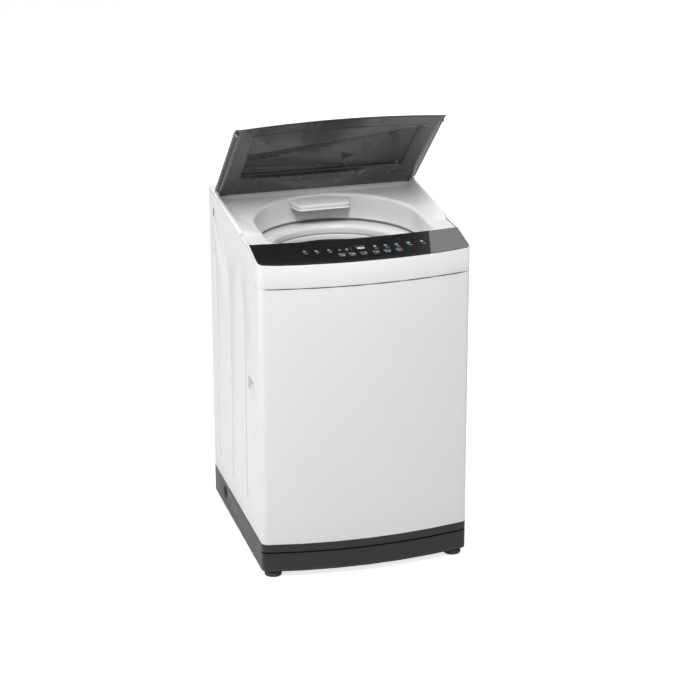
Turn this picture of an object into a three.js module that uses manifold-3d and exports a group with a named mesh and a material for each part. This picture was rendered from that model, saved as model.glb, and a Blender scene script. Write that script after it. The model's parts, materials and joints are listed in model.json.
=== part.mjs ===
// Top load washing machine with a tilting glass lid.
//
// Millimetres. +X is to the right seen from the front, +Y to the back and +Z up. The origin is on the
// floor, in the middle of the machine's plan. The lid stands part of the way open.

import * as THREE from 'three';
import { mergeVertices } from 'three/addons/utils/BufferGeometryUtils.js';
import Module from 'manifold-3d';

const wasm = await Module();
wasm.setup();

// ---------------------------------------------------------------------------------------------------
// Driving dimensions

const WIDTH = 550;
const SIDE_DEPTH = 556; // front corner to rear face
const FRONT_BOW = 32; // the front's bulge past its corners
const SPIGOT_OUT = 12; // the inlet spigots stand out this far behind
const BODY_HEIGHT = 897; // floor to the top of the rear housing
const SHEET = 1.2; // cabinet sheet
const WALL = 2.6; // plastic mouldings
const GAP = 0.35; // between pieces that touch
const CORNER_RADIUS = 18;
const REAR_CORNER_RADIUS = 5;

const FOOT_HEIGHT = 18;
const FOOT_RADIUS = 23;
const FOOT_INSET = 40; // rear feet's axes, in from the side and the back
const FRONT_FOOT_SIDE = 32; // front feet's axes, in from the side
const FRONT_FOOT_BACK = 20; // and behind the front corners
const FOOT_STUD_RADIUS = 5;
const BASE_HEIGHT = 76;
const BASE_WALL = 3.5;
const BASE_BAND = 21; // upper band of the base, above its groove
const BASE_GROOVE = 4.5;
const DRAIN_HOLE_RADIUS = 20;

const FASCIA_DROP = 113; // rear housing's top down to the front sheet's top edge
const FASCIA_HEIGHT = 63;
const FASCIA_WRAP = 38; // the fascia turns this far onto the sides
const PANEL_RISE = 21; // the control panel slopes up this much to its rear edge
const PANEL_DEPTH = 107;
const PANEL_BOW = 20;
const PANEL_THICKNESS = 3;
const PANEL_END_FRONT = 113; // grey section at the right end, along its front edge
const PANEL_END_REAR = 82; // and along its rear edge

const RIM_WIDTH = 8.5;
const RIM_FRONT_DROP = 21; // rear housing's top down to the rim's front end
const RIM_REAR_DROP = 3.5;
const LEDGE_DROP = 31.5; // down to the ledge in front of the rims
const FLOOR_RISE = 9; // the deck rises this much to the back
const NOTCH_BACK = 91; // panel's rear edge to the rims' front ends
const RIM_CAP = 6; // the rims cover the side sheet's edge by this much
const HOUSING_DEPTH = 66; // rear housing
const SKIRT = 30; // the top frame reaches this far down inside the sheet

const LIP_RISE = 22; // funnel's lip above the front sheet's top edge
const TUB_FORWARD = 8; // tub axis in front of the origin
const TUB_ROOM = 23; // cabinet side to tub
const TUB_WALL = 3;
const TUB_CLEARANCE = 18; // tub to basket
const BASKET_WALL = 1.5;
const FUNNEL_OVERLAP = 14; // the funnel's lip is this far inside the basket's wall
const BALANCE_WIDTH = 44;
const BALANCE_HEIGHT = 42;
const LIP_CLEARANCE = 9; // balance ring's top to the funnel's lip
const TUB_FLOOR = 205; // underside of the tub

const LID_FRONT_GAP = 6;
const LID_TOP = 9; // lid's top face over the hinge axis
const LID_UNDER = 5; // lid's underside below the hinge axis
const LID_BAND = 9; // thin band along the lid's sides, over the rims
const LID_NOSE = 25; // the lid's top slopes down over this depth at its front edge
const LID_NOSE_EDGE = 2.5; // thickness that the slope leaves at the front edge
const LID_CORNER_BACK = 13; // the lid's rear corners stop this far in front of the hinge axis
const LID_GLASS = 3.5;
const LID_REST_ANGLE = 42.06; // degrees above level
const HINGE_DROP = 4; // hinge axis below the rear housing's top
const HINGE_SETBACK = 11; // hinge axis in front of the rear housing
const PIN_RADIUS = 3;
const WINDOW_SIDE = 58; // lid border beside the window
const WINDOW_BACK = 96; // lid border at the hinge
const WINDOW_FRONT = 48;

const BEAD_WIDTH = 8; // vertical beads pressed into each side
const BEAD_DEPTH = 2.2;
const GRIP = { front: -208, back: -138, low: 470, high: 516, depth: 16 };
const SLOT = { y: 231, low: 827, high: 851, width: 10 };
const BEAD_PLACES = [210, 50, -110];

const CORD_HOLE = 9; // mains lead's hole in the rear panel
const CORD_X = 190;
const CORD_Z = 150;
const DRAIN_Y = 155; // drain hose's hole in the base's left side
const DRAIN_Z = 63;
const PANEL_MARGIN = 2; // the panel's edge lies this far inside the cabinet's outline
const SPIGOTS = [-176, -144];
const SPIGOT_RADIUS = 12;
const HOSE_RADIUS = 7;
const KNUCKLE_RADIUS = 7;

const CUP_HEIGHT = 78; // damper cups
const CUP_RADIUS = 21;
const HUB_HOLE = 34; // tub's centre hole
const HUB_RADIUS = 22; // basket's centre hole
const SPIN_TUBE_OUTER = 14;
const SHAFT_RADIUS = 8;
const PLATE_THICKNESS = 3;
const DRAIN_PORT = 14;
const DRAIN_VALVE_X = -150;
const PULL_TRAVEL = 12; // the drain motor pulls the plunger this far

// ---------------------------------------------------------------------------------------------------
// Values that follow from them

const HALF = WIDTH / 2;
const TOTAL_DEPTH = SIDE_DEPTH + FRONT_BOW + SPIGOT_OUT;
const FRONT_Y = -TOTAL_DEPTH / 2 + FRONT_BOW;
const REAR_Y = TOTAL_DEPTH / 2 - SPIGOT_OUT;
const BOW_RADIUS = (HALF ** 2 + FRONT_BOW ** 2) / (2 * FRONT_BOW);
const BOW_CENTRE_Y = FRONT_Y - FRONT_BOW + BOW_RADIUS;

const BASE_TOP = FOOT_HEIGHT + BASE_HEIGHT;
const SEAM_Z = BODY_HEIGHT - FASCIA_DROP;
const PANEL_FRONT_Z = SEAM_Z + FASCIA_HEIGHT;
const PANEL_REAR_Y = FRONT_Y + PANEL_DEPTH;
const LEDGE_Z = BODY_HEIGHT - LEDGE_DROP;
const NOTCH_Y = PANEL_REAR_Y + NOTCH_BACK;
const HOUSING_Y = REAR_Y - HOUSING_DEPTH;
const RIM_FRONT_Z = BODY_HEIGHT - RIM_FRONT_DROP;
const RIM_REAR_Z = BODY_HEIGHT - RIM_REAR_DROP;
const FASCIA_BACK_Y = FRONT_Y + FASCIA_WRAP;
const SKIN = SHEET + GAP; // inset of what sits inside the sheet

const TUB_Y = -TUB_FORWARD;
const TUB_RADIUS = Math.min(WIDTH, SIDE_DEPTH) / 2 - TUB_ROOM;
const BASKET_RADIUS = TUB_RADIUS - TUB_WALL - TUB_CLEARANCE;
const FUNNEL_RADIUS = BASKET_RADIUS - FUNNEL_OVERLAP;
const MOUTH_RADIUS = FUNNEL_RADIUS - 3;
const BALANCE_INNER = FUNNEL_RADIUS + 5 - BALANCE_WIDTH;
const LIP_Z = SEAM_Z + LIP_RISE;
const BALANCE_TOP = LIP_Z - LIP_CLEARANCE;
const BASKET_TOP = BALANCE_TOP - BALANCE_HEIGHT;
const TUB_TOP = BALANCE_TOP - 25;
const BASKET_FLOOR = TUB_FLOOR + 40;

const HINGE_Y = HOUSING_Y - HINGE_SETBACK;
const HINGE_Z = BODY_HEIGHT - HINGE_DROP;
const LID_LENGTH = HINGE_Y - PANEL_REAR_Y - LID_FRONT_GAP;
const LID_HALF = HALF;
const LID_BOW = PANEL_BOW + 2;
const GLASS_LOW = LID_TOP - LID_GLASS;

const WATER_BOX = {
  x: 8,
  low: SEAM_Z + 62,
  high: SEAM_Z + 77,
  front: 71, // half width at its front
  back: 91, // and at its back
  frontY: TUB_Y + MOUTH_RADIUS - 60,
  backY: TUB_Y + MOUTH_RADIUS + 14,
};
const SPIGOT_Z = SEAM_Z + 46;
const VALVE_FRONT = REAR_Y - SKIN - WALL - 40;
const SENSOR_X = Math.SQRT1_2 * TUB_RADIUS + 2;
const SENSOR_Y = (HOUSING_Y + REAR_Y) / 2;
const SENSOR_RADIUS = HOUSING_DEPTH / 2 - WALL - SKIN - 5;
const SENSOR_Z = BODY_HEIGHT - 60;

const ROD_OUT = TUB_RADIUS + 52; // suspension rods, out from the tub's axis
const ROD_STEP = ROD_OUT * Math.SQRT1_2 + 9;
const MOTOR_Y = TUB_Y + 140;
const MOTOR_RADIUS = 56;
const PULLEY_RADIUS = 74;
const MOTOR_PULLEY_RADIUS = 26;
const PULLEY_Z = 97;
const PULLEY_WIDTH = 16;
const INPUT_TOP = PULLEY_Z + PULLEY_WIDTH + 34; // top of the gearbox's input shaft
const PLATE_LOW = TUB_FLOOR - GAP - PLATE_THICKNESS;
const ROD_TOP = SEAM_Z - 45;
const CUP_TOP = TUB_FLOOR + 62;
const SPRING_LOW = CUP_TOP - CUP_HEIGHT + 10;
const DRAIN_VALVE_Y = TUB_Y + 60;
const BRAKE_PIVOT = [-72, TUB_Y + 24];

const CORNERS = [[-1, -1], [1, -1], [-1, 1], [1, 1]];
const CORNER_NAMES = ['front_left', 'front_right', 'rear_left', 'rear_right'];

// ---------------------------------------------------------------------------------------------------
// Finishes

const finish = (color, roughness, metalness = 0) =>
  new THREE.MeshStandardMaterial({ color, roughness, metalness });

const WHITE_SHEET = finish(0xf1f1f1, 0.4);
const WHITE_PLASTIC = finish(0xe6e6e6, 0.45);
const BLACK_GLOSS = finish(0x1d1b1d, 0.15);
const GREY_GLOSS = finish(0x5b5b5c, 0.25);
const LID_PLASTIC = finish(0x4a4a4c, 0.3);
const DARK_BASE = finish(0x39393b, 0.5);
const TUB_PLASTIC = finish(0xd2d4d4, 0.5);
const BLACK_PLASTIC = finish(0x222224, 0.6);
const STEEL = finish(0xb9bbbd, 0.35, 0.9);
const DRUM_STEEL = finish(0xc9cbcd, 0.25, 1);
const ALUMINIUM = finish(0xa9abad, 0.45, 0.9);
const RUBBER = finish(0x1a1a1a, 0.9);
const GREEN_BOARD = finish(0x2f5a3c, 0.7);
const TINTED_GLASS = new THREE.MeshStandardMaterial({
  color: 0x303032,
  roughness: 0.08,
  transparent: true,
  opacity: 0.6,
});

// ---------------------------------------------------------------------------------------------------
// Solids

const ARC_STEPS = 3; // each arc of an outline takes twice as many chords
const LARGE = 32; // sides of the tub, basket and balance ring
const MEDIUM = 16;
const SMALL = 10;

/** Makes a solid of a closed geometry, for joining and cutting. */
function solid(geometry) {
  geometry.deleteAttribute('normal');
  geometry.deleteAttribute('uv');
  const merged = mergeVertices(geometry, 1e-4);
  const index = merged.index.array;
  const kept = [];
  for (let i = 0; i < index.length; i += 3) {
    const [a, b, c] = [index[i], index[i + 1], index[i + 2]];
    if (a !== b && b !== c && c !== a) kept.push(a, b, c);
  }
  return new wasm.Manifold(
    new wasm.Mesh({
      numProp: 3,
      vertProperties: new Float32Array(merged.attributes.position.array),
      triVerts: new Uint32Array(kept),
    }),
  );
}

/** Turns a solid back into a geometry. */
function geometryOf(shape) {
  const mesh = shape.getMesh();
  const geometry = new THREE.BufferGeometry();
  geometry.setAttribute('position', new THREE.BufferAttribute(mesh.vertProperties, 3));
  geometry.setIndex(new THREE.BufferAttribute(mesh.triVerts, 1));
  geometry.computeVertexNormals();
  return geometry;
}

const union = (...shapes) => shapes.reduce((whole, shape) => whole.add(shape));

function block(x0, x1, y0, y1, z0, z1) {
  const geometry = new THREE.BoxGeometry(x1 - x0, y1 - y0, z1 - z0);
  return solid(geometry.translate((x0 + x1) / 2, (y0 + y1) / 2, (z0 + z1) / 2));
}

/** Extrudes an outline drawn in plan. */
function prismZ(shape, z0, z1, curveSegments = ARC_STEPS) {
  const options = { depth: z1 - z0, bevelEnabled: false, curveSegments };
  return solid(new THREE.ExtrudeGeometry(shape, options).translate(0, 0, z0));
}

/** Extrudes an outline of [y, z] points across the machine. */
function prismX(points, x0, x1) {
  const shape = new THREE.Shape(points.map(([y, z]) => new THREE.Vector2(y, z)));
  return prismXShape(shape, x0, x1);
}

function prismXShape(shape, x0, x1) {
  const options = { depth: x1 - x0, bevelEnabled: false, curveSegments: ARC_STEPS };
  const toSide = new THREE.Matrix4().makeBasis(
    new THREE.Vector3(0, 1, 0),
    new THREE.Vector3(0, 0, 1),
    new THREE.Vector3(1, 0, 0),
  );
  return solid(new THREE.ExtrudeGeometry(shape, options).applyMatrix4(toSide).translate(x0, 0, 0));
}

/**
 * Turns a closed profile around an upright axis at x, y. Its points are [radius, z], anticlockwise seen
 * with the radius to the right.
 */
function turned(profile, sides = MEDIUM, x = 0, y = 0) {
  const points = profile.map(([r, z]) => new THREE.Vector2(r, z));
  if (profile[0][0] > 0) points.push(points[0].clone());
  const geometry = new THREE.LatheGeometry(points, sides).rotateX(Math.PI / 2);
  return solid(geometry.translate(x, y, 0));
}

/** An upright round bar. */
const disc = (radius, z0, z1, sides = SMALL, x = 0, y = 0) =>
  turned([[0, z0], [radius, z0], [radius, z1], [0, z1]], sides, x, y);

/** An upright round tube. */
const ring = (outer, inner, z0, z1, sides = MEDIUM, x = 0, y = 0) =>
  turned([[inner, z0], [outer, z0], [outer, z1], [inner, z1]], sides, x, y);

/** A round bar along X. */
function barX(radius, x0, x1, y, z, sides = SMALL) {
  const geometry = new THREE.CylinderGeometry(radius, radius, x1 - x0, sides).rotateZ(Math.PI / 2);
  return solid(geometry.translate((x0 + x1) / 2, y, z));
}

/** A round bar along Y. */
function barY(radius, y0, y1, x, z, sides = SMALL) {
  const geometry = new THREE.CylinderGeometry(radius, radius, y1 - y0, sides);
  return solid(geometry.translate(x, (y0 + y1) / 2, z));
}

/** A round tube or bar along a curve. */
function swept(curve, radius, steps, sides = 8) {
  const section = new THREE.Shape().absarc(0, 0, radius, 0, Math.PI * 2);
  const options = { extrudePath: curve, steps, bevelEnabled: false, curveSegments: sides / 2 };
  return solid(new THREE.ExtrudeGeometry(section, options));
}

const curveThrough = (points) => new THREE.CatmullRomCurve3(points.map((p) => new THREE.Vector3(...p)));

/** Skins a stack of closed loops, each an anticlockwise list of [x, y, z], from the lowest up. */
function loft(loops) {
  const count = loops[0].length;
  const positions = loops.flat(2);
  const index = [];
  for (let level = 0; level + 1 < loops.length; level += 1) {
    for (let i = 0; i < count; i += 1) {
      const a = level * count + i;
      const b = level * count + ((i + 1) % count);
      index.push(a, b, b + count, a, b + count, a + count);
    }
  }
  const top = (loops.length - 1) * count;
  for (let i = 1; i + 1 < count; i += 1) {
    index.push(0, i + 1, i, top, top + i, top + i + 1);
  }
  const geometry = new THREE.BufferGeometry();
  geometry.setAttribute('position', new THREE.Float32BufferAttribute(positions, 3));
  geometry.setIndex(index);
  return solid(geometry);
}

// ---------------------------------------------------------------------------------------------------
// Outlines shared by several pieces

/** Plan of the cabinet, drawn the given distance inside its outer face. */
function plan(inset) {
  const half = HALF - inset;
  const rear = REAR_Y - inset;
  const radius = BOW_RADIUS - inset;
  const corner = Math.max(CORNER_RADIUS - inset, 2);
  const rearCorner = Math.max(REAR_CORNER_RADIUS - inset, 1);
  const lean = Math.asin((half - corner) / (radius - corner));
  const cornerY = BOW_CENTRE_Y - Math.cos(lean) * (radius - corner);
  const down = Math.PI * 1.5;
  const shape = new THREE.Shape();
  shape.moveTo(half, cornerY);
  shape.absarc(half - rearCorner, rear - rearCorner, rearCorner, 0, Math.PI / 2);
  shape.absarc(-half + rearCorner, rear - rearCorner, rearCorner, Math.PI / 2, Math.PI);
  shape.absarc(-half + corner, cornerY, corner, Math.PI, down - lean);
  shape.absarc(0, BOW_CENTRE_Y, radius, down - lean, down + lean);
  shape.absarc(half - corner, cornerY, corner, down + lean, Math.PI * 2);
  return shape;
}

const frontLine = (x) => BOW_CENTRE_Y - Math.sqrt(BOW_RADIUS ** 2 - Math.min(Math.abs(x), BOW_RADIUS) ** 2);
const panelRearLine = (x) => PANEL_REAR_Y - PANEL_BOW * (1 - (x / HALF) ** 2);

/** Everything above the control panel's slope, in front of its rear edge, moved down by drop. */
function abovePanel(drop, behind = 0) {
  const steps = 10;
  const reach = HALF + 10;
  const low = [];
  const high = [];
  const stations = Array.from({ length: steps + 1 }, (_, i) => -reach + (2 * reach * i) / steps);
  const slope = (x, y) => {
    const share = (y - frontLine(x)) / (panelRearLine(x) - frontLine(x));
    return PANEL_FRONT_Z + PANEL_RISE * share - drop;
  };
  const place = (x, y) => {
    low.push([x, y, slope(x, y)]);
    high.push([x, y, BODY_HEIGHT + 40]);
  };
  stations.forEach((x) => place(x, frontLine(x) - 12));
  stations.reverse().forEach((x) => place(x, panelRearLine(x) + behind));
  return loft([low, high]);
}

/** The space between the panel's rear edge and the rear housing, in plan. */
function deckPlan(half, forward = 0) {
  const shape = new THREE.Shape();
  shape.moveTo(half, HOUSING_Y);
  shape.lineTo(-half, HOUSING_Y);
  const steps = 10;
  for (let i = 0; i <= steps; i += 1) {
    const x = -half + (2 * half * i) / steps;
    shape.lineTo(x, panelRearLine(x) - forward);
  }
  return shape;
}

const floorZ = (y) => LEDGE_Z + (FLOOR_RISE * (y - PANEL_REAR_Y)) / (HOUSING_Y - PANEL_REAR_Y);

/** Everything above the deck's floor, moved down by drop. */
function aboveFloor(half, drop, forward = 0) {
  const top = BODY_HEIGHT + 40;
  const profile = [
    [-TOTAL_DEPTH, floorZ(-TOTAL_DEPTH) - drop],
    [TOTAL_DEPTH, floorZ(TOTAL_DEPTH) - drop],
    [TOTAL_DEPTH, top],
    [-TOTAL_DEPTH, top],
  ];
  return prismZ(deckPlan(half, forward), 0, top).intersect(prismX(profile, -WIDTH, WIDTH));
}

/** Everything above the rims and above the ledge in front of them. */
function aboveRims() {
  const top = BODY_HEIGHT + 40;
  const profile = [
    [-TOTAL_DEPTH, LEDGE_Z],
    [NOTCH_Y, LEDGE_Z],
    [NOTCH_Y, RIM_FRONT_Z],
    [HINGE_Y - 9, RIM_REAR_Z],
    [HINGE_Y - 9, BODY_HEIGHT + 1.5],
    [HINGE_Y + 8, BODY_HEIGHT + 1.5],
    [HINGE_Y + 8, RIM_REAR_Z],
    [TOTAL_DEPTH, RIM_REAR_Z],
    [TOTAL_DEPTH, top],
    [-TOTAL_DEPTH, top],
  ];
  return prismZ(deckPlan(WIDTH), 0, top).intersect(prismX(profile, -WIDTH, WIDTH));
}

/** Side view of all that lies above the side sheet's top edge. */
function sheetTopProfile(lift) {
  const top = BODY_HEIGHT + 40;
  return [
    [-TOTAL_DEPTH, SEAM_Z + lift],
    [FASCIA_BACK_Y, SEAM_Z + lift],
    [FASCIA_BACK_Y, PANEL_FRONT_Z - RIM_CAP + lift],
    [PANEL_REAR_Y, LEDGE_Z - RIM_CAP + lift],
    [NOTCH_Y, LEDGE_Z - RIM_CAP + lift],
    [HINGE_Y, RIM_REAR_Z - RIM_CAP + lift],
    [TOTAL_DEPTH, RIM_REAR_Z - RIM_CAP + lift],
    [TOTAL_DEPTH, top],
    [-TOTAL_DEPTH, top],
  ];
}

/** One loop of the funnel: from the square-fronted mouth (0) to the round lip (1). */
function funnelLoop(blend, grow, heightAt) {
  const count = 36;
  const front = TUB_Y - (PANEL_REAR_Y + 4);
  return Array.from({ length: count }, (_, i) => {
    const angle = (2 * Math.PI * (i + 0.5)) / count;
    const [c, s] = [Math.cos(angle), Math.sin(angle)];
    const side = Math.abs(c) > 1e-9 ? MOUTH_RADIUS / Math.abs(c) : Infinity;
    const mouth = s >= 0 ? MOUTH_RADIUS : Math.min(side, front / -s);
    const radius = mouth * (1 - blend) + FUNNEL_RADIUS * blend + grow;
    const y = TUB_Y + radius * s;
    return [radius * c, y, heightAt(y)];
  });
}

/** The funnel's space, or with grow, the space with its wall. */
function funnel(grow, low, high) {
  return loft([
    funnelLoop(1, grow, () => LIP_Z - low),
    funnelLoop(0, grow, (y) => floorZ(y) - 12),
    funnelLoop(0, grow + 10, (y) => floorZ(y) + high),
  ]);
}

/** Outline of a pressed bead in side view: straight, with its top end turned to the back. */
function beadOutline(y, width) {
  const half = width / 2;
  const low = BASE_TOP + 60;
  const high = SEAM_Z - 44;
  const turn = 48; // height of the curved end
  const drift = 25;
  const bend = new THREE.QuadraticBezierCurve(
    new THREE.Vector2(y, high - turn),
    new THREE.Vector2(y, high - turn / 2),
    new THREE.Vector2(y + drift, high),
  );
  const spine = [new THREE.Vector2(y, low), ...bend.getPoints(4)];
  const left = spine.map((p) => new THREE.Vector2(p.x - half, p.y));
  const right = spine.map((p) => new THREE.Vector2(p.x + half, p.y)).reverse();
  return new THREE.Shape([...left, ...right]);
}

// ---------------------------------------------------------------------------------------------------
// Cabinet

/** Presses beads and grips into one side of the wrap. side is -1 on the left and 1 on the right. */
function pressSide(wrap, side) {
  const across = (shape, deep, out) => {
    const [near, far] = [HALF - deep, HALF + out];
    return side > 0 ? prismXShape(shape, near, far) : prismXShape(shape, -far, -near);
  };
  let shape = wrap;
  BEAD_PLACES.forEach((y) => {
    shape = shape.add(across(beadOutline(y, BEAD_WIDTH + 2 * SHEET), BEAD_DEPTH + SHEET, -0.1));
    shape = shape.subtract(across(beadOutline(y, BEAD_WIDTH), BEAD_DEPTH, 2));
  });
  return shape.add(gripWedge(side, SHEET, -0.1)).subtract(gripWedge(side, 0, 2));
}

/** The grip's hollow, deepest along its top edge; grow thickens it for the sheet around it. */
function gripWedge(side, grow, out) {
  const [near, far] = [HALF - GRIP.depth - grow, HALF + out];
  const loop = (y) => [
    [side * far, y, GRIP.high + grow],
    [side * near, y, GRIP.high + grow],
    [side * near, y, GRIP.high - 16],
    [side * far, y, GRIP.low - grow],
  ];
  const ends = [GRIP.front - grow, GRIP.back + grow].map(loop);
  return loft(side < 0 ? ends : ends.reverse());
}

/** One sheet bent round the front and both sides, with the rear edges turned in. */
function cabinetWrap() {
  const low = BASE_TOP + GAP;
  const flange = 14;
  const bracket = 34; // corner gussets that the suspension rods hang from, 3 mm thick
  const outer = prismZ(plan(0), low, BODY_HEIGHT);
  let wrap = outer.subtract(prismZ(plan(SHEET), low - 1, BODY_HEIGHT + 1));
  const opening = block(-HALF + flange, HALF - flange, REAR_Y - 8, REAR_Y + 5, low - 1, BODY_HEIGHT + 1);
  wrap = wrap.subtract(opening);
  wrap = wrap.subtract(prismX(sheetTopProfile(-GAP), -WIDTH, WIDTH));
  const slot = new THREE.Shape();
  const radius = SLOT.width / 2;
  slot.absarc(SLOT.y, SLOT.high - radius, radius, 0, Math.PI);
  slot.absarc(SLOT.y, SLOT.low + radius, radius, Math.PI, Math.PI * 2);
  wrap = wrap.subtract(prismXShape(slot, -HALF - 5, HALF + 5));
  wrap = pressSide(pressSide(wrap, -1), 1);
  for (const [sx, sy] of CORNERS) {
    const [x, y] = rodPlace(sx, sy);
    const edgeX = sx * (HALF - 0.4);
    const outerY = sy > 0 ? REAR_Y - SKIN - SHEET - GAP : FRONT_Y + 6;
    const plate = block(
      Math.min(x - (sx * bracket) / 2, edgeX), Math.max(x - (sx * bracket) / 2, edgeX),
      Math.min(y - (sy * bracket) / 2, outerY), Math.max(y - (sy * bracket) / 2, outerY),
      ROD_TOP - 3, ROD_TOP,
    );
    wrap = wrap.add(plate.intersect(outer)).subtract(disc(6, ROD_TOP - 10, ROD_TOP + 5, SMALL - 2, x, y));
  }
  return wrap;
}

/** Flat sheet that closes the back, inside the wrap's rear flanges. */
function rearPanel() {
  const y = REAR_Y - SKIN - SHEET;
  const half = HALF - SHEET - 3;
  const sheet = block(-half, half, y, y + SHEET, BASE_TOP + GAP, SEAM_Z - SKIRT - GAP);
  return sheet.subtract(barY(CORD_HOLE, y - 5, y + 5, CORD_X, CORD_Z));
}

/** Flanged bush in the rear panel that the mains lead passes through. */
function cordGland() {
  const face = REAR_Y - SKIN;
  return union(
    barY(CORD_HOLE - GAP, face - 14, face + 1, CORD_X, CORD_Z),
    barY(CORD_HOLE + 3, face + GAP, face + GAP + 1, CORD_X, CORD_Z),
  ).subtract(barY(4, face - 20, face + 5, CORD_X, CORD_Z));
}

/** Dark ring under the cabinet, with bosses for the feet and a hole for the drain hose. */
function baseFrame() {
  const [low, high] = [FOOT_HEIGHT + GAP, BASE_TOP];
  const ringOuter = prismZ(plan(0), low, high);
  let base = ringOuter.subtract(prismZ(plan(BASE_WALL), low - 1, high + 1));
  const grooveTop = high - BASE_BAND;
  const groove = prismZ(plan(-2), grooveTop - BASE_GROOVE, grooveTop).subtract(
    prismZ(plan(1.5), grooveTop - BASE_GROOVE - 1, grooveTop + 1),
  );
  base = base.subtract(groove.intersect(block(-WIDTH, WIDTH, -TOTAL_DEPTH, FRONT_Y + 14, low, high)));
  for (const [sx, sy] of CORNERS) {
    const [x, y] = footPlace(sx, sy);
    const arm = block(
      Math.min(x - 14, x + sx * 60), Math.max(x + 14, x + sx * 60), y - 14, y + 14, low, low + 34,
    );
    base = base.add(arm.intersect(ringOuter)).add(disc(20, low, low + 34, SMALL, x, y));
    base = base.subtract(disc(FOOT_STUD_RADIUS + GAP, low - 5, low + 60, SMALL + 4, x, y));
  }
  return base.subtract(barX(DRAIN_HOLE_RADIUS, -HALF - 5, -HALF + 12, DRAIN_Y, DRAIN_Z, MEDIUM));
}

const footPlace = (sx, sy) => [
  sx * (HALF - (sy < 0 ? FRONT_FOOT_SIDE : FOOT_INSET)),
  sy < 0 ? FRONT_Y + FRONT_FOOT_BACK : REAR_Y - FOOT_INSET,
];

/** Round foot with a ribbed pad, on a stud that screws into the base. */
function foot(sx, sy) {
  const [x, y] = footPlace(sx, sy);
  const profile = [
    [0, 0], [FOOT_RADIUS - 2, 0], [FOOT_RADIUS, 3], [FOOT_RADIUS, 12], [FOOT_RADIUS - 3, FOOT_HEIGHT - 1],
    [FOOT_STUD_RADIUS, FOOT_HEIGHT - 1], [FOOT_STUD_RADIUS, FOOT_HEIGHT + 44], [0, FOOT_HEIGHT + 44],
  ];
  return turned(profile, SMALL + 4, x, y);
}

/** Ring seated in the base's side hole, with the drain hose's end inside it. */
function drainOutlet() {
  const [x0, x1] = [-HALF + 1, -HALF + 26];
  return union(
    barX(DRAIN_HOLE_RADIUS - GAP, x0, x1, DRAIN_Y, DRAIN_Z, MEDIUM),
    barX(DRAIN_HOLE_RADIUS + 4, -HALF + BASE_WALL + GAP, -HALF + BASE_WALL + 3, DRAIN_Y, DRAIN_Z, MEDIUM),
  ).subtract(barX(15, x0 - 5, x1 - 6, DRAIN_Y, DRAIN_Z, MEDIUM)).subtract(
    barX(11, x0 - 5, x1 + 5, DRAIN_Y, DRAIN_Z, SMALL),
  );
}

// ---------------------------------------------------------------------------------------------------
// Top frame: fascia, deck, rims, funnel and rear housing in one moulding

function topFrame() {
  const under = SEAM_Z - SKIRT;
  const outside = prismZ(plan(0), SEAM_Z, BODY_HEIGHT + 1.5).intersect(
    prismX(sheetTopProfile(GAP), -WIDTH, WIDTH),
  );
  const inside = prismZ(plan(SKIN), under, BODY_HEIGHT);
  const housingTop = block(-WIDTH, WIDTH, HOUSING_Y, REAR_Y + 50, BODY_HEIGHT, BODY_HEIGHT + 50);
  let frame = outside.add(inside).subtract(housingTop);
  frame = frame.subtract(abovePanel(0, 1)).subtract(aboveRims()).subtract(aboveFloor(HALF - RIM_WIDTH, 0));
  frame = frame.subtract(topHollow(under));
  const belowDeck = (shape) => shape
    .subtract(abovePanel(WALL, 0.5))
    .subtract(aboveFloor(HALF, 0))
    .subtract(block(-WIDTH, WIDTH, HOUSING_Y, WIDTH, 0, BODY_HEIGHT + 90));
  frame = frame.add(belowDeck(funnel(WALL, 0, 3)));
  frame = frame.subtract(funnel(0, 5, 3).subtract(abovePanel(PANEL_THICKNESS + 2 * WALL, WALL)));
  frame = frame.subtract(panelPocket());
  frame = frame.subtract(prismZ(waterBoxPlan(GAP), WATER_BOX.low - GAP, WATER_BOX.high + GAP));
  SPIGOTS.forEach((x) => {
    frame = frame.subtract(barY(SPIGOT_RADIUS + GAP, REAR_Y - 12, REAR_Y + 5, x, SPIGOT_Z, 16));
  });
  for (const side of [-1, 1]) {
    const ends = [side * (HALF - RIM_WIDTH - 5), side * (HALF - 4)].sort((a, b) => a - b);
    frame = frame.subtract(barX(PIN_RADIUS + 0.05, ends[0], ends[1], HINGE_Y, HINGE_Z));
    frame = frame.subtract(sideSlotClearance(side));
  }
  return frame;
}

/** Room behind the slot in the side sheet. */
function sideSlotClearance(side) {
  const [near, far] = [HALF - SKIN - WALL - 1, HALF];
  const [x0, x1] = side > 0 ? [near, far] : [-far, -near];
  return block(x0, x1, SLOT.y - SLOT.width / 2, SLOT.y + SLOT.width / 2, SLOT.low, SLOT.high);
}

/** The open underside of the top frame. */
function topHollow(under) {
  const room = prismZ(plan(SKIN + WALL), under - 1, BODY_HEIGHT - WALL);
  const front = block(-WIDTH, WIDTH, -TOTAL_DEPTH, HOUSING_Y - WALL, under - 2, BODY_HEIGHT);
  const belowDeck = room
    .intersect(front)
    .subtract(abovePanel(PANEL_THICKNESS + WALL, WALL))
    .subtract(aboveFloor(HALF, WALL, WALL));
  const rear = block(-WIDTH, WIDTH, HOUSING_Y + WALL, TOTAL_DEPTH, under - 2, BODY_HEIGHT);
  const join = block(-WIDTH, WIDTH, HOUSING_Y - 2 * WALL, HOUSING_Y + 2 * WALL, 0, floorZ(HOUSING_Y) - WALL);
  return union(belowDeck, room.intersect(rear), room.intersect(join));
}

/** Pocket that the control panel lies in. */
function panelPocket() {
  const margin = prismZ(plan(PANEL_MARGIN - GAP), 0, BODY_HEIGHT + 50);
  return abovePanel(PANEL_THICKNESS + GAP, -PANEL_MARGIN + GAP).intersect(margin);
}

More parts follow.
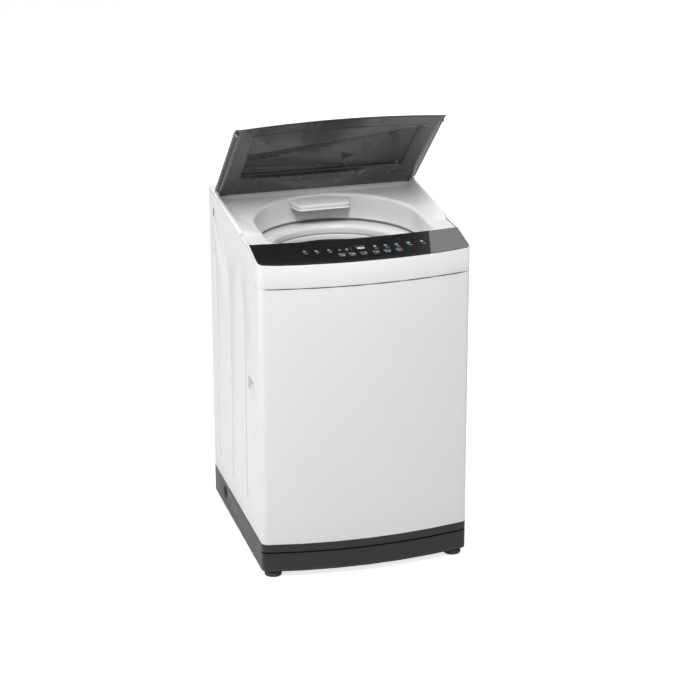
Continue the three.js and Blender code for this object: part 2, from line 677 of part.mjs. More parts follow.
/** One part of the sloping control panel: side is -1 for the black part and 1 for the grey end. */
function panelPiece(side) {
  const outline = prismZ(plan(PANEL_MARGIN), 0, BODY_HEIGHT + 50);
  const frontX = HALF - PANEL_END_FRONT;
  const rearX = HALF - PANEL_END_REAR;
  const lean = (rearX - frontX) / PANEL_DEPTH;
  const splitX = (y) => frontX + lean * (y - FRONT_Y) + (side > 0 ? GAP : 0);
  const [nearY, farY] = [FRONT_Y - FRONT_BOW - 10, PANEL_REAR_Y + 10];
  const part = new THREE.Shape([
    new THREE.Vector2(splitX(nearY), nearY),
    new THREE.Vector2(splitX(farY), farY),
    new THREE.Vector2(side * WIDTH, farY),
    new THREE.Vector2(side * WIDTH, nearY),
  ]);
  return abovePanel(PANEL_THICKNESS, -PANEL_MARGIN)
    .intersect(outline)
    .subtract(abovePanel(0, 5))
    .intersect(prismZ(part, 0, BODY_HEIGHT + 50));
}

function waterBoxPlan(grow) {
  const { x, front, back, frontY, backY } = WATER_BOX;
  return new THREE.Shape([
    new THREE.Vector2(x - front - grow, frontY - grow),
    new THREE.Vector2(x + front + grow, frontY - grow),
    new THREE.Vector2(x + back + grow, backY + grow),
    new THREE.Vector2(x - back - grow, backY + grow),
  ]);
}

/** Spout box at the back of the funnel that pours the water in through its underside. */
function waterBox() {
  const { x, low, high, front, frontY, backY } = WATER_BOX;
  const box = prismZ(waterBoxPlan(0), low, high);
  const room = block(x - front + 4, x + front - 4, frontY + 4, backY - 4, low - 5, high - 3);
  const inlet = barY(8, backY - 10, backY + 5, x, (low + high) / 2 - 0.5, 12);
  return box.subtract(room).subtract(inlet);
}

// ---------------------------------------------------------------------------------------------------
// Water inlet and electrics in the top frame

/** Two-way inlet valve: threaded spigots through the rear wall, and an outlet at its side. */
function inletValve() {
  const [x0, x1] = [SPIGOTS[0] - 18, SPIGOTS[1] + 18];
  let valve = block(x0, x1, VALVE_FRONT, REAR_Y - SKIN - WALL - GAP, SPIGOT_Z - 20, SPIGOT_Z + 20);
  SPIGOTS.forEach((x) => {
    valve = valve.add(barY(SPIGOT_RADIUS, VALVE_FRONT + 20, REAR_Y + SPIGOT_OUT, x, SPIGOT_Z));
    valve = valve.subtract(barY(SPIGOT_RADIUS - 3, REAR_Y - 12, REAR_Y + SPIGOT_OUT + 5, x, SPIGOT_Z));
  });
  return valve.add(barX(HOSE_RADIUS, x1 - 5, x1 + 8, VALVE_FRONT + 18, SPIGOT_Z, 12));
}

/** Hose from the inlet valve to the water box. */
function inletHose() {
  const z = (WATER_BOX.low + WATER_BOX.high) / 2 - 0.5;
  const start = SPIGOTS[1] + 27;
  return swept(
    curveThrough([
      [start, VALVE_FRONT + 18, SPIGOT_Z],
      [start + 25, VALVE_FRONT + 18, SPIGOT_Z + 2],
      [WATER_BOX.x - 30, WATER_BOX.backY + 22, z],
      [WATER_BOX.x - 4, WATER_BOX.backY + 14, z],
      [WATER_BOX.x, WATER_BOX.backY + GAP, z],
    ]),
    HOSE_RADIUS - 1.5,
    10,
    6,
  );
}

/** Pressure switch that senses the water level, a round can with a nipple below. */
function levelSensor() {
  const [x, y, r] = [SENSOR_X, SENSOR_Y, SENSOR_RADIUS];
  const profile = [
    [0, SENSOR_Z], [r - 2, SENSOR_Z], [r, SENSOR_Z + 4], [r, SENSOR_Z + 18], [0, SENSOR_Z + 20],
  ];
  const can = turned(profile, 20, x, y);
  return can.add(disc(3, SENSOR_Z - 12, SENSOR_Z + 2, 10, x, y));
}

/** Switch that tells whether the lid is shut. */
function lidSwitch() {
  const y = HOUSING_Y + WALL + 1;
  return block(HALF - 60, HALF - 38, y, y + 26, BODY_HEIGHT - 42, BODY_HEIGHT - 10).subtract(
    block(HALF - 52, HALF - 46, y - 5, y + 10, BODY_HEIGHT - 34, BODY_HEIGHT - 18),
  );
}

/** Board under the control panel, with its display and relay blocks. */
function controlBoard() {
  const z = PANEL_FRONT_Z - 26;
  const y = FRONT_Y + 4;
  return union(
    block(-190, 170, y, y + 34, z, z + 1.6),
    block(-20, 60, y + 6, y + 28, z + 1, z + 11),
    block(-170, -120, y + 4, y + 30, z + 1, z + 9),
    block(110, 150, y + 4, y + 30, z + 1, z + 8),
  );
}

/** Motor run capacitor, clipped to the rear panel. */
function runCapacitor() {
  return disc(19, 300, 380, 18, HALF - 42, REAR_Y - SKIN - SHEET - 24).add(
    disc(4, 379, 392, 10, HALF - 42, REAR_Y - SKIN - SHEET - 24),
  );
}

// ---------------------------------------------------------------------------------------------------
// Lid, drawn shut and level with the hinge axis as its origin; -Y is towards the front

const lidFrontLine = (x, half, front) => front - LID_BOW * (1 - (x / half) ** 2);

/** Plan of the lid, its sides moved in by inset, its front by frontInset and its back to the line back. */
function lidPlan(inset, back = 4, frontInset = inset) {
  const half = LID_HALF - inset;
  const front = -LID_LENGTH + frontInset;
  const [steps, corner] = [10, 10];
  const shoulder = half - RIM_WIDTH - 2;
  const cornerBack = Math.min(back, -LID_CORNER_BACK);
  const shape = new THREE.Shape();
  shape.moveTo(shoulder, back);
  shape.lineTo(-shoulder, back);
  shape.lineTo(-shoulder - 1, cornerBack);
  shape.lineTo(-half, cornerBack);
  shape.lineTo(-half, front + corner);
  for (let i = 0; i <= steps; i += 1) {
    const x = -half + corner + (2 * (half - corner) * i) / steps;
    shape.lineTo(x, lidFrontLine(x, half, front));
  }
  shape.lineTo(half, front + corner);
  shape.lineTo(half, cornerBack);
  shape.lineTo(shoulder + 1, cornerBack);
  return shape;
}

/** What the slope at the lid's front edge takes away. */
function noseCut() {
  const reach = LID_HALF + 10;
  const steps = 10;
  const [edge, over] = [LID_NOSE_EDGE - LID_UNDER, LID_TOP + 20];
  const rise = (LID_TOP - edge) / LID_NOSE;
  return loft(Array.from({ length: steps + 1 }, (_, i) => {
    const x = -reach + (2 * reach * i) / steps;
    const y = lidFrontLine(x, LID_HALF, -LID_LENGTH);
    const back = y + LID_NOSE;
    return [[x, y - 10, edge - 10 * rise], [x, back, LID_TOP], [x, back, over], [x, y - 10, over]];
  }));
}

/** Plan of the window in the lid, or with grow, a margin around it. */
function windowPlan(grow) {
  const half = LID_HALF - WINDOW_SIDE + grow;
  const front = -LID_LENGTH + WINDOW_FRONT - grow;
  const bow = 16;
  const shape = new THREE.Shape();
  shape.moveTo(half, -WINDOW_BACK + grow);
  shape.lineTo(-half, -WINDOW_BACK + grow);
  const steps = 8;
  for (let i = 0; i <= steps; i += 1) {
    const x = -half + (2 * half * i) / steps;
    shape.lineTo(x, front - bow * (1 - (x / half) ** 2));
  }
  return shape;
}

/** Lid moulding: thin outer band, deeper border, raised bead, stepped window and hinge knuckles. */
function lidFrame() {
  const glassRoom = prismZ(lidPlan(-2, 10, LID_NOSE), GLASS_LOW - GAP, LID_TOP + 5);
  const border = prismZ(lidPlan(LID_BAND, 3, 0), -LID_UNDER, 2);
  const bead = prismZ(windowPlan(36), -LID_UNDER - 1.5, -LID_UNDER + 0.5).subtract(
    prismZ(windowPlan(28), -LID_UNDER - 3, 0),
  );
  let frame = prismZ(lidPlan(0), 1, LID_TOP).subtract(glassRoom).add(border).subtract(noseCut()).add(bead);
  frame = frame.subtract(prismZ(windowPlan(14), -LID_UNDER - 5, -LID_UNDER + 3));
  frame = frame.subtract(prismZ(windowPlan(0), -LID_UNDER - 5, LID_TOP));
  for (const side of [-1, 1]) {
    const ends = [side * (HALF - RIM_WIDTH - 22), side * (HALF - RIM_WIDTH - 6)].sort((a, b) => a - b);
    frame = frame.add(barX(KNUCKLE_RADIUS, ends[0], ends[1], 0, 0, 16).intersect(
      block(-WIDTH, WIDTH, -20, 20, -20, GLASS_LOW - GAP)));
    const bore = [side * (HALF - RIM_WIDTH - 24), side * (HALF - RIM_WIDTH)].sort((a, b) => a - b);
    frame = frame.subtract(barX(PIN_RADIUS + 0.25, bore[0], bore[1], 0, 0));
  }
  return frame;
}

const lidGlass = () => prismZ(lidPlan(0, 4, LID_NOSE + GAP), GLASS_LOW, LID_TOP);

/** Soft pad near a front corner of the lid's underside. */
function lidBumper(side) {
  const top = 1 - GAP;
  const profile = [[0, top - 7], [2.4, top - 7], [3.4, top - 6], [4, top], [0, top]];
  return turned(profile, 14, side * (LID_HALF - LID_BAND / 2), -LID_LENGTH + 30);
}

/** Steel pin between the rim and the lid's knuckle. */
function hingePin(side) {
  const ends = [side * (HALF - RIM_WIDTH - 20), side * (HALF - 4.5)].sort((a, b) => a - b);
  return barX(PIN_RADIUS, ends[0], ends[1], HINGE_Y, HINGE_Z);
}

// ---------------------------------------------------------------------------------------------------
// Suspension

const rodPlace = (sx, sy) => [sx * ROD_STEP, TUB_Y + sy * ROD_STEP];

/** Rod hung from a corner gusset, with a ball head above and a spring seat below. */
function suspensionRod(sx, sy) {
  const [x, y] = rodPlace(sx, sy);
  const seat = CUP_RADIUS - 4;
  const profile = [
    [0, SPRING_LOW - 8], [seat, SPRING_LOW - 8], [seat, SPRING_LOW - GAP], [3, SPRING_LOW - GAP],
    [3, ROD_TOP + GAP], [11, ROD_TOP + GAP], [11, ROD_TOP + 4], [5, ROD_TOP + 12], [0, ROD_TOP + 12],
  ];
  return turned(profile, SMALL - 2, x, y);
}

/** Cup fixed under a lug of the tub; it slides down over the rod's spring seat and damps it. */
function damperCup(sx, sy) {
  const [x, y] = rodPlace(sx, sy);
  const [low, top] = [CUP_TOP - CUP_HEIGHT, CUP_TOP - GAP];
  const inner = CUP_RADIUS - 2.5;
  const profile = [
    [5, top], [5, top - 3], [inner, top - 3], [inner, low], [CUP_RADIUS, low], [CUP_RADIUS, top],
  ];
  return turned(profile, SMALL + 2, x, y);
}

/** Coil spring between the rod's seat and the roof of the damper cup. */
function suspensionSpring(sx, sy) {
  const [x, y] = rodPlace(sx, sy);
  const wire = 2;
  const radius = CUP_RADIUS - 7;
  const turns = 4;
  const low = SPRING_LOW + wire;
  const high = CUP_TOP - GAP - 3 - wire - GAP;
  class Helix extends THREE.Curve {
    getPoint(t, target = new THREE.Vector3()) {
      const angle = 2 * Math.PI * turns * t;
      return target.set(x + radius * Math.cos(angle), y + radius * Math.sin(angle), low + (high - low) * t);
    }
  }
  return swept(new Helix(), wire, turns * 7, 4);
}

// ---------------------------------------------------------------------------------------------------
// Tub unit

/** Outer tub with lugs over the damper cups and a drain port. */
function outerTub() {
  const [r, t, low, top] = [TUB_RADIUS, TUB_WALL, TUB_FLOOR, TUB_TOP];
  const profile = [
    [HUB_HOLE, low], [r - 25, low], [r, low + 25], [r, top], [r - t, top],
    [r - t, low + 26], [r - 26, low + t], [HUB_HOLE, low + t],
  ];
  let tub = turned(profile, LARGE, 0, TUB_Y);
  const bore = turned([[0, low - 60], [r - 2, low - 60], [r - 2, top + 5], [0, top + 5]], LARGE, 0, TUB_Y);
  for (const [sx, sy] of CORNERS) {
    const [x, y] = rodPlace(sx, sy);
    const reach = new THREE.BoxGeometry(ROD_STEP * Math.SQRT2 - r + 26, 40, 14);
    reach.rotateZ(Math.atan2(sy, sx));
    const middle = (ROD_STEP * Math.SQRT2 + r - 6) / 2;
    const diagonal = Math.SQRT1_2 * middle;
    reach.translate(sx * diagonal, TUB_Y + sy * diagonal, CUP_TOP + 7);
    const lug = solid(reach).add(disc(CUP_RADIUS, CUP_TOP, CUP_TOP + 14, SMALL, x, y)).subtract(bore);
    tub = tub.add(lug).subtract(disc(6, CUP_TOP - 5, CUP_TOP + 30, SMALL - 2, x, y));
  }
  return tub.subtract(disc(DRAIN_PORT, low - 5, low + 10, 16, DRAIN_VALVE_X, DRAIN_VALVE_Y));
}

/** Ring clipped on the tub's rim that keeps splashes off the cabinet. */
function tubCover() {
  const inner = FUNNEL_RADIUS + WALL + 3;
  const low = TUB_TOP + GAP;
  const high = BALANCE_TOP + 5;
  const profile = [
    [TUB_RADIUS - TUB_WALL, low], [TUB_RADIUS, low], [TUB_RADIUS, high], [inner, high],
    [inner, high - TUB_WALL], [TUB_RADIUS - TUB_WALL, high - TUB_WALL],
  ];
  return turned(profile, LARGE, 0, TUB_Y);
}

/** Steel plate under the tub that carries the gearbox, the motor and the drain motor. */
function mountingPlate() {
  const high = TUB_FLOOR - GAP;
  const plate = block(-70, 70, TUB_Y - 90, MOTOR_Y + 62, PLATE_LOW, high);
  return plate
    .subtract(disc(HUB_HOLE, high - 10, high + 5, 24, 0, TUB_Y))
    .subtract(disc(14, high - 10, high + 5, 14, 0, MOTOR_Y));
}

/** Housing of the reduction gear, the clutch and the brake, bored for the shafts. */
function gearboxHousing() {
  const [low, high] = [PULLEY_Z + PULLEY_WIDTH + 12, PLATE_LOW - GAP];
  const profile = [
    [SPIN_TUBE_OUTER + 1, low], [30, low], [58, low + 14], [58, high - 16], [50, high - 6], [50, high],
    [SPIN_TUBE_OUTER + 1, high],
  ];
  return turned(profile, MEDIUM, 0, TUB_Y);
}

/** Ball bearing around the spin tube, in the tub's centre. */
const shaftBearing = () =>
  ring(HUB_HOLE - 4, SPIN_TUBE_OUTER + 0.5, PLATE_LOW + 0.5, TUB_FLOOR - 1, MEDIUM, 0, TUB_Y);

/** Lip seal above the bearing that keeps the water in the tub. */
const shaftSeal = () =>
  ring(HUB_HOLE - GAP, SPIN_TUBE_OUTER + 0.5, TUB_FLOOR, TUB_FLOOR + 8, MEDIUM, 0, TUB_Y);

/** Motor shell, open below, hung from the mounting plate. */
function motorHousing() {
  const [low, high] = [PULLEY_Z + PULLEY_WIDTH + 8, PLATE_LOW - GAP];
  const profile = [
    [12, low], [MOTOR_RADIUS - 6, low], [MOTOR_RADIUS, low + 8], [MOTOR_RADIUS, high - 8],
    [MOTOR_RADIUS - 6, high], [9, high], [9, high - 3], [MOTOR_RADIUS - 8, high - 3],
    [MOTOR_RADIUS - 3, high - 10], [MOTOR_RADIUS - 3, low + 10], [MOTOR_RADIUS - 8, low + 3], [12, low + 3],
  ];
  return turned(profile, MEDIUM, 0, MOTOR_Y);
}

/** Rotor, its shaft and its small pulley. */
function motorRotor() {
  const low = PULLEY_Z - 4;
  const rotor = MOTOR_RADIUS - 14;
  const body = PULLEY_Z + PULLEY_WIDTH + 18;
  const profile = [
    [0, low], [MOTOR_PULLEY_RADIUS + 3, low], [MOTOR_PULLEY_RADIUS + 3, PULLEY_Z - 1],
    [MOTOR_PULLEY_RADIUS, PULLEY_Z], [MOTOR_PULLEY_RADIUS, PULLEY_Z + PULLEY_WIDTH],
    [6, PULLEY_Z + PULLEY_WIDTH + 1], [6, body], [rotor, body], [rotor, PLATE_LOW - 18],
    [6, PLATE_LOW - 18], [6, PLATE_LOW - 1], [0, PLATE_LOW - 1],
  ];
  return turned(profile, MEDIUM, 0, MOTOR_Y);
}

/** Large pulley on the gearbox's input. */
function drivePulley() {
  const rimIn = PULLEY_RADIUS - 6;
  const web = PULLEY_Z + 6;
  const profile = [
    [0, PULLEY_Z - 6], [16, PULLEY_Z - 6], [16, web], [rimIn, web], [rimIn, PULLEY_Z],
    [PULLEY_RADIUS, PULLEY_Z], [PULLEY_RADIUS, PULLEY_Z + PULLEY_WIDTH], [rimIn, PULLEY_Z + PULLEY_WIDTH],
    [rimIn, web + 4], [16, web + 4], [SHAFT_RADIUS, PULLEY_Z + PULLEY_WIDTH + 6],
    [SHAFT_RADIUS, INPUT_TOP], [0, INPUT_TOP],
  ];
  let pulley = turned(profile, MEDIUM + 8, 0, TUB_Y);
  for (let i = 0; i < 5; i += 1) {
    const angle = (2 * Math.PI * (i + 0.5)) / 5;
    const [x, y] = [42 * Math.cos(angle), TUB_Y + 42 * Math.sin(angle)];
    pulley = pulley.subtract(disc(16, web - 5, web + 10, 8, x, y));
  }
  return pulley;
}

/** Belt round the two pulleys: an outer loop less an inner one. */
function driveBelt() {
  const loop = (grow) => {
    const [big, small] = [PULLEY_RADIUS + grow, MOTOR_PULLEY_RADIUS + grow];
    const lean = Math.asin((big - small) / (MOTOR_Y - TUB_Y));
    const shape = new THREE.Shape();
    shape.absarc(0, MOTOR_Y, small, lean, Math.PI - lean);
    shape.absarc(0, TUB_Y, big, Math.PI - lean, Math.PI * 2 + lean);
    return shape;
  };
  const [low, high] = [PULLEY_Z + 2, PULLEY_Z + PULLEY_WIDTH - 2];
  return prismZ(loop(4), low, high, 7).subtract(prismZ(loop(1.6), low - 1, high + 1, 7));
}

/** Drain valve body under the tub, open for its plunger and towards the hose. */
function drainValve() {
  const [x, y, high] = [DRAIN_VALVE_X, DRAIN_VALVE_Y, TUB_FLOOR - GAP];
  const chamber = disc(24, high - 44, high, 20, x, y).add(barX(20, x, x + 46, y, high - 22, 16));
  return chamber
    .add(barX(13, x - 40, x, y, high - 22, 14))
    .subtract(disc(DRAIN_PORT, high - 36, high + 5, SMALL, x, y))
    .subtract(barX(15, x - 1, x + 60, y, high - 22, 14))
    .subtract(barX(9.5, x - 50, x, y, high - 22, 12));
}

/** Plunger that shuts the valve, with the rod that the drain motor pulls. */
function valvePlunger() {
  const [x, y, z] = [DRAIN_VALVE_X, DRAIN_VALVE_Y, TUB_FLOOR - GAP - 22];
  return barX(12, x + 16, x + 30, y, z, 14).add(barX(2.5, x + 28, x + 62, y, z, 8));
}

/** Small geared motor that pulls the plunger. */
function drainMotor() {
  const [y, high] = [DRAIN_VALVE_Y, PLATE_LOW - GAP];
  const x = DRAIN_VALVE_X + 62 + PULL_TRAVEL + 4;
  return block(x, -34, y - 12, y + 32, high - 42, high);
}

/** Lever on the gearbox that lets go of the brake while the drain motor pulls. */
function brakeLever() {
  const z = 150;
  const pivot = BRAKE_PIVOT;
  const arm = block(pivot[0] - 4, pivot[0] + 4, pivot[1] - 66, pivot[1], z, z + 4);
  return arm.add(disc(8, z, z + 4, 14, ...pivot)).subtract(disc(3.2, z - 1, z + 5, 10, ...pivot));
}

/** Short hose from the drain valve to the outlet in the base. */
function drainHose() {
  const start = DRAIN_VALVE_X - 40 - 2;
  const end = -HALF + 26 + GAP;
  return swept(
    curveThrough([
      [start, DRAIN_VALVE_Y, TUB_FLOOR - GAP - 22],
      [start - 14, DRAIN_VALVE_Y, TUB_FLOOR - GAP - 22],
      [start - 20, DRAIN_VALVE_Y + 50, DRAIN_Z + 60],
      [end + 24, DRAIN_Y - 6, DRAIN_Z + 8],
      [end + 12, DRAIN_Y, DRAIN_Z],
      [end, DRAIN_Y, DRAIN_Z],
    ]),
    12,
    14,
    8,
  );
}

/** Thin tube from the tub's air chamber up to the level sensor. */
function airTube() {
  const [x, y] = [SENSOR_X, SENSOR_Y];
  const low = TUB_FLOOR + 30;
  const side = TUB_Y + Math.sqrt((TUB_RADIUS + 30) ** 2 - x ** 2);
  return swept(
    curveThrough([
      [x, side, low],
      [x, side + 6, low + 40],
      [x, (side + y) / 2, (low + SENSOR_Z) / 2],
      [x, y, SENSOR_Z - 60],
      [x, y, SENSOR_Z - 12 - GAP],
    ]),
    3,
    12,
    4,
  );
}

// ---------------------------------------------------------------------------------------------------
// Basket and pulsator

/** Spin basket: a turned shell with drain holes in its floor. */
function spinBasket() {
  const [r, t, low, top] = [BASKET_RADIUS, BASKET_WALL, BASKET_FLOOR, BASKET_TOP - GAP];
  const profile = [
    [HUB_RADIUS, low], [r - 20, low], [r, low + 20], [r, top], [r - t, top],
    [r - t, low + 21], [r - 21, low + t], [HUB_RADIUS, low + t],
  ];
  let basket = turned(profile, LARGE, 0, TUB_Y);
  const holes = 10;
  for (let i = 0; i < holes; i += 1) {
    const angle = (2 * Math.PI * i) / holes;
    const reach = r - 38;
    basket = basket.subtract(
      disc(5, low - 5, low + 10, 8, reach * Math.cos(angle), TUB_Y + reach * Math.sin(angle)),
    );
  }
  return basket;
}

/** Hollow ring on the basket's top that holds salt water; open below for filling. */
function balanceRing() {
  const [outer, inner, low, top] = [BASKET_RADIUS + 1, BALANCE_INNER, BASKET_TOP, BALANCE_TOP];
  const profile = [
    [inner + 2, low], [outer, low], [outer, top - 8], [outer - 8, top], [inner + 10, top],
    [inner, top - 7], [inner, top - 26], [inner + 3, top - 30], [inner + 3, low + 2],
  ];
  const well = ring(outer - 14, inner + 16, low - 5, top - 14, LARGE, 0, TUB_Y);
  return turned(profile, LARGE, 0, TUB_Y).subtract(well);
}

/** Three-armed aluminium flange under the basket, on the spin tube. */
function hubFlange() {
  const low = TUB_FLOOR + 14;
  const high = BASKET_FLOOR - GAP;
  const tubeLow = PULLEY_Z + PULLEY_WIDTH + 46;
  const profile = [
    [SHAFT_RADIUS + 0.5, tubeLow], [SPIN_TUBE_OUTER, tubeLow], [SPIN_TUBE_OUTER, low], [58, low + 6],
    [58, high], [SHAFT_RADIUS + 0.5, high],
  ];
  let flange = turned(profile, MEDIUM, 0, TUB_Y);
  for (let i = 0; i < 3; i += 1) {
    const length = BASKET_RADIUS - 60;
    const arm = new THREE.BoxGeometry(length, 34, 10).translate(50 + length / 2, 0, 0);
    arm.rotateZ((2 * Math.PI * i) / 3 + Math.PI / 2).translate(0, TUB_Y, high - 5);
    flange = flange.add(solid(arm));
  }
  return flange;
}

/** Filter housing on the basket's inner wall. */
function lintFilter() {
  const y = TUB_Y + BASKET_RADIUS - BASKET_WALL;
  const shell = ring(BASKET_RADIUS - BASKET_WALL - GAP, BASKET_RADIUS - 20, 430, 590, LARGE, 0, TUB_Y);
  return shell
    .intersect(block(-45, 45, TUB_Y, y + 5, 420, 600))
    .subtract(block(-32, 32, TUB_Y, y - 14, 445, 575));
}

/** Ribbed plate that turns the wash, on its own shaft inside the spin tube. */
function pulsator() {
  const low = BASKET_FLOOR + BASKET_WALL + 6;
  const radius = BASKET_RADIUS - 48;
  const profile = [
    [0, INPUT_TOP + 4], [SHAFT_RADIUS, INPUT_TOP + 4], [SHAFT_RADIUS, low], [radius, low + 4],
    [radius + 2, low + 10], [radius - 12, low + 10], [60, low + 18], [34, low + 42], [0, low + 48],
  ];
  let plate = turned(profile, LARGE, 0, TUB_Y);
  const vanes = 4;
  for (let i = 0; i < vanes; i += 1) {
    const vane = new THREE.SphereGeometry(1, 8, 6).scale(radius / 2 - 22, 17, 26);
    vane.translate(radius / 2 + 8, 0, 0).rotateZ((2 * Math.PI * i) / vanes).translate(0, TUB_Y, low + 10);
    plate = plate.add(solid(vane).intersect(disc(radius, low + 6, low + 60, LARGE, 0, TUB_Y)));
  }
  return plate;
}

// ---------------------------------------------------------------------------------------------------
// The machine

const machine = new THREE.Group();

/** Adds a named piece to a group. */
function add(name, shape, material, parent = machine) {
  const mesh = new THREE.Mesh(geometryOf(shape), material);
  mesh.name = name;
  parent.add(mesh);
}

add('cabinet_wrap', cabinetWrap(), WHITE_SHEET);
add('rear_panel', rearPanel(), WHITE_SHEET);
add('cord_gland', cordGland(), BLACK_PLASTIC);
add('base_frame', baseFrame(), DARK_BASE);
add('drain_outlet', drainOutlet(), BLACK_PLASTIC);
add('top_frame', topFrame(), WHITE_PLASTIC);
add('control_panel', panelPiece(-1), BLACK_GLOSS);
add('panel_end_section', panelPiece(1), GREY_GLOSS);
add('control_board', controlBoard(), GREEN_BOARD);
add('water_box', waterBox(), WHITE_PLASTIC);
add('inlet_valve', inletValve(), WHITE_PLASTIC);
add('inlet_hose', inletHose(), BLACK_PLASTIC);
add('level_sensor', levelSensor(), BLACK_PLASTIC);
add('air_tube', airTube(), BLACK_PLASTIC);
add('lid_switch', lidSwitch(), WHITE_PLASTIC);
add('run_capacitor', runCapacitor(), ALUMINIUM);

CORNERS.forEach(([sx, sy], i) => {
  add(`foot_${CORNER_NAMES[i]}`, foot(sx, sy), RUBBER);
  add(`suspension_rod_${CORNER_NAMES[i]}`, suspensionRod(sx, sy), STEEL);
  add(`damper_cup_${CORNER_NAMES[i]}`, damperCup(sx, sy), BLACK_PLASTIC);
  add(`suspension_spring_${CORNER_NAMES[i]}`, suspensionSpring(sx, sy), STEEL);
});

add('outer_tub', outerTub(), TUB_PLASTIC);
add('tub_cover', tubCover(), TUB_PLASTIC);
add('mounting_plate', mountingPlate(), STEEL);
add('gearbox_housing', gearboxHousing(), ALUMINIUM);
add('shaft_bearing', shaftBearing(), STEEL);
add('shaft_seal', shaftSeal(), RUBBER);
add('motor_housing', motorHousing(), ALUMINIUM);
add('motor_rotor', motorRotor(), STEEL);
add('drive_pulley', drivePulley(), ALUMINIUM);
add('drive_belt', driveBelt(), RUBBER);
add('drain_valve', drainValve(), WHITE_PLASTIC);
add('valve_plunger', valvePlunger(), RUBBER);
add('drain_motor', drainMotor(), BLACK_PLASTIC);
add('drain_hose', drainHose(), BLACK_PLASTIC);
add('brake_lever', brakeLever(), STEEL);
add('spin_basket', spinBasket(), DRUM_STEEL);
add('balance_ring', balanceRing(), WHITE_PLASTIC);
add('hub_flange', hubFlange(), ALUMINIUM);
add('lint_filter', lintFilter(), WHITE_PLASTIC);
add('pulsator', pulsator(), TUB_PLASTIC);

const lid = new THREE.Group();
lid.position.set(0, HINGE_Y, HINGE_Z);
lid.rotation.x = THREE.MathUtils.degToRad(-LID_REST_ANGLE);
add('lid_frame', lidFrame(), LID_PLASTIC, lid);
add('lid_glass', lidGlass(), TINTED_GLASS, lid);
add('lid_bumper_left', lidBumper(-1), RUBBER, lid);
add('lid_bumper_right', lidBumper(1), RUBBER, lid);
machine.add(lid);
add('hinge_pin_left', hingePin(-1), STEEL);
add('hinge_pin_right', hingePin(1), STEEL);

export default machine;
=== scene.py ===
"""Looks for a top load washing machine with a tilting glass lid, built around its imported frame."""

import json
import logging
import math
from dataclasses import dataclass, field
from enum import Enum
from typing import Callable, Sequence

import bpy
from mathutils import Matrix, Vector


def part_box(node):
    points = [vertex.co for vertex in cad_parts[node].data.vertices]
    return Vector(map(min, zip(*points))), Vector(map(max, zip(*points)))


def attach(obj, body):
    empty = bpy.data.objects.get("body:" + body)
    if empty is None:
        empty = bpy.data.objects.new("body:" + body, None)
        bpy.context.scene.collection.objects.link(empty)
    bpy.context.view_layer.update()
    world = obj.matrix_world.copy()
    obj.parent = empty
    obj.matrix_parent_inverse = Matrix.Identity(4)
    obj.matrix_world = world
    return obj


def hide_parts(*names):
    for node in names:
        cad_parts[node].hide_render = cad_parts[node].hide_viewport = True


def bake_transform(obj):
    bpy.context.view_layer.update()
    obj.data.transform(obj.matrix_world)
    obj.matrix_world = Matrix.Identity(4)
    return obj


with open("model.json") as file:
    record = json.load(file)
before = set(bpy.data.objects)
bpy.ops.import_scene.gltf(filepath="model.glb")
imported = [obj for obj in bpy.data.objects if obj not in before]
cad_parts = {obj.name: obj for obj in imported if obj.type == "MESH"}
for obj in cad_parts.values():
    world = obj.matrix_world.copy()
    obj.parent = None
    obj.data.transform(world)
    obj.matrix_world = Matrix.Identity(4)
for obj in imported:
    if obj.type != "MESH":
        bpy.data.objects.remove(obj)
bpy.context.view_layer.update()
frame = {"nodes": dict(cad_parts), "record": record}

log = logging.getLogger("washer")

Point = tuple[float, float, float]
Colour = tuple[float, float, float]
CORNERS = ("front_left", "front_right", "rear_left", "rear_right")
SIDES = ("left", "right")


class Axis(Enum):
    """Direction that a turned piece stands along."""

    X = (1.0, 0.0, 0.0)
    Y = (0.0, 1.0, 0.0)
    Z = (0.0, 0.0, 1.0)


# ---------------------------------------------------------------------------------------------------
# Shared shader effects


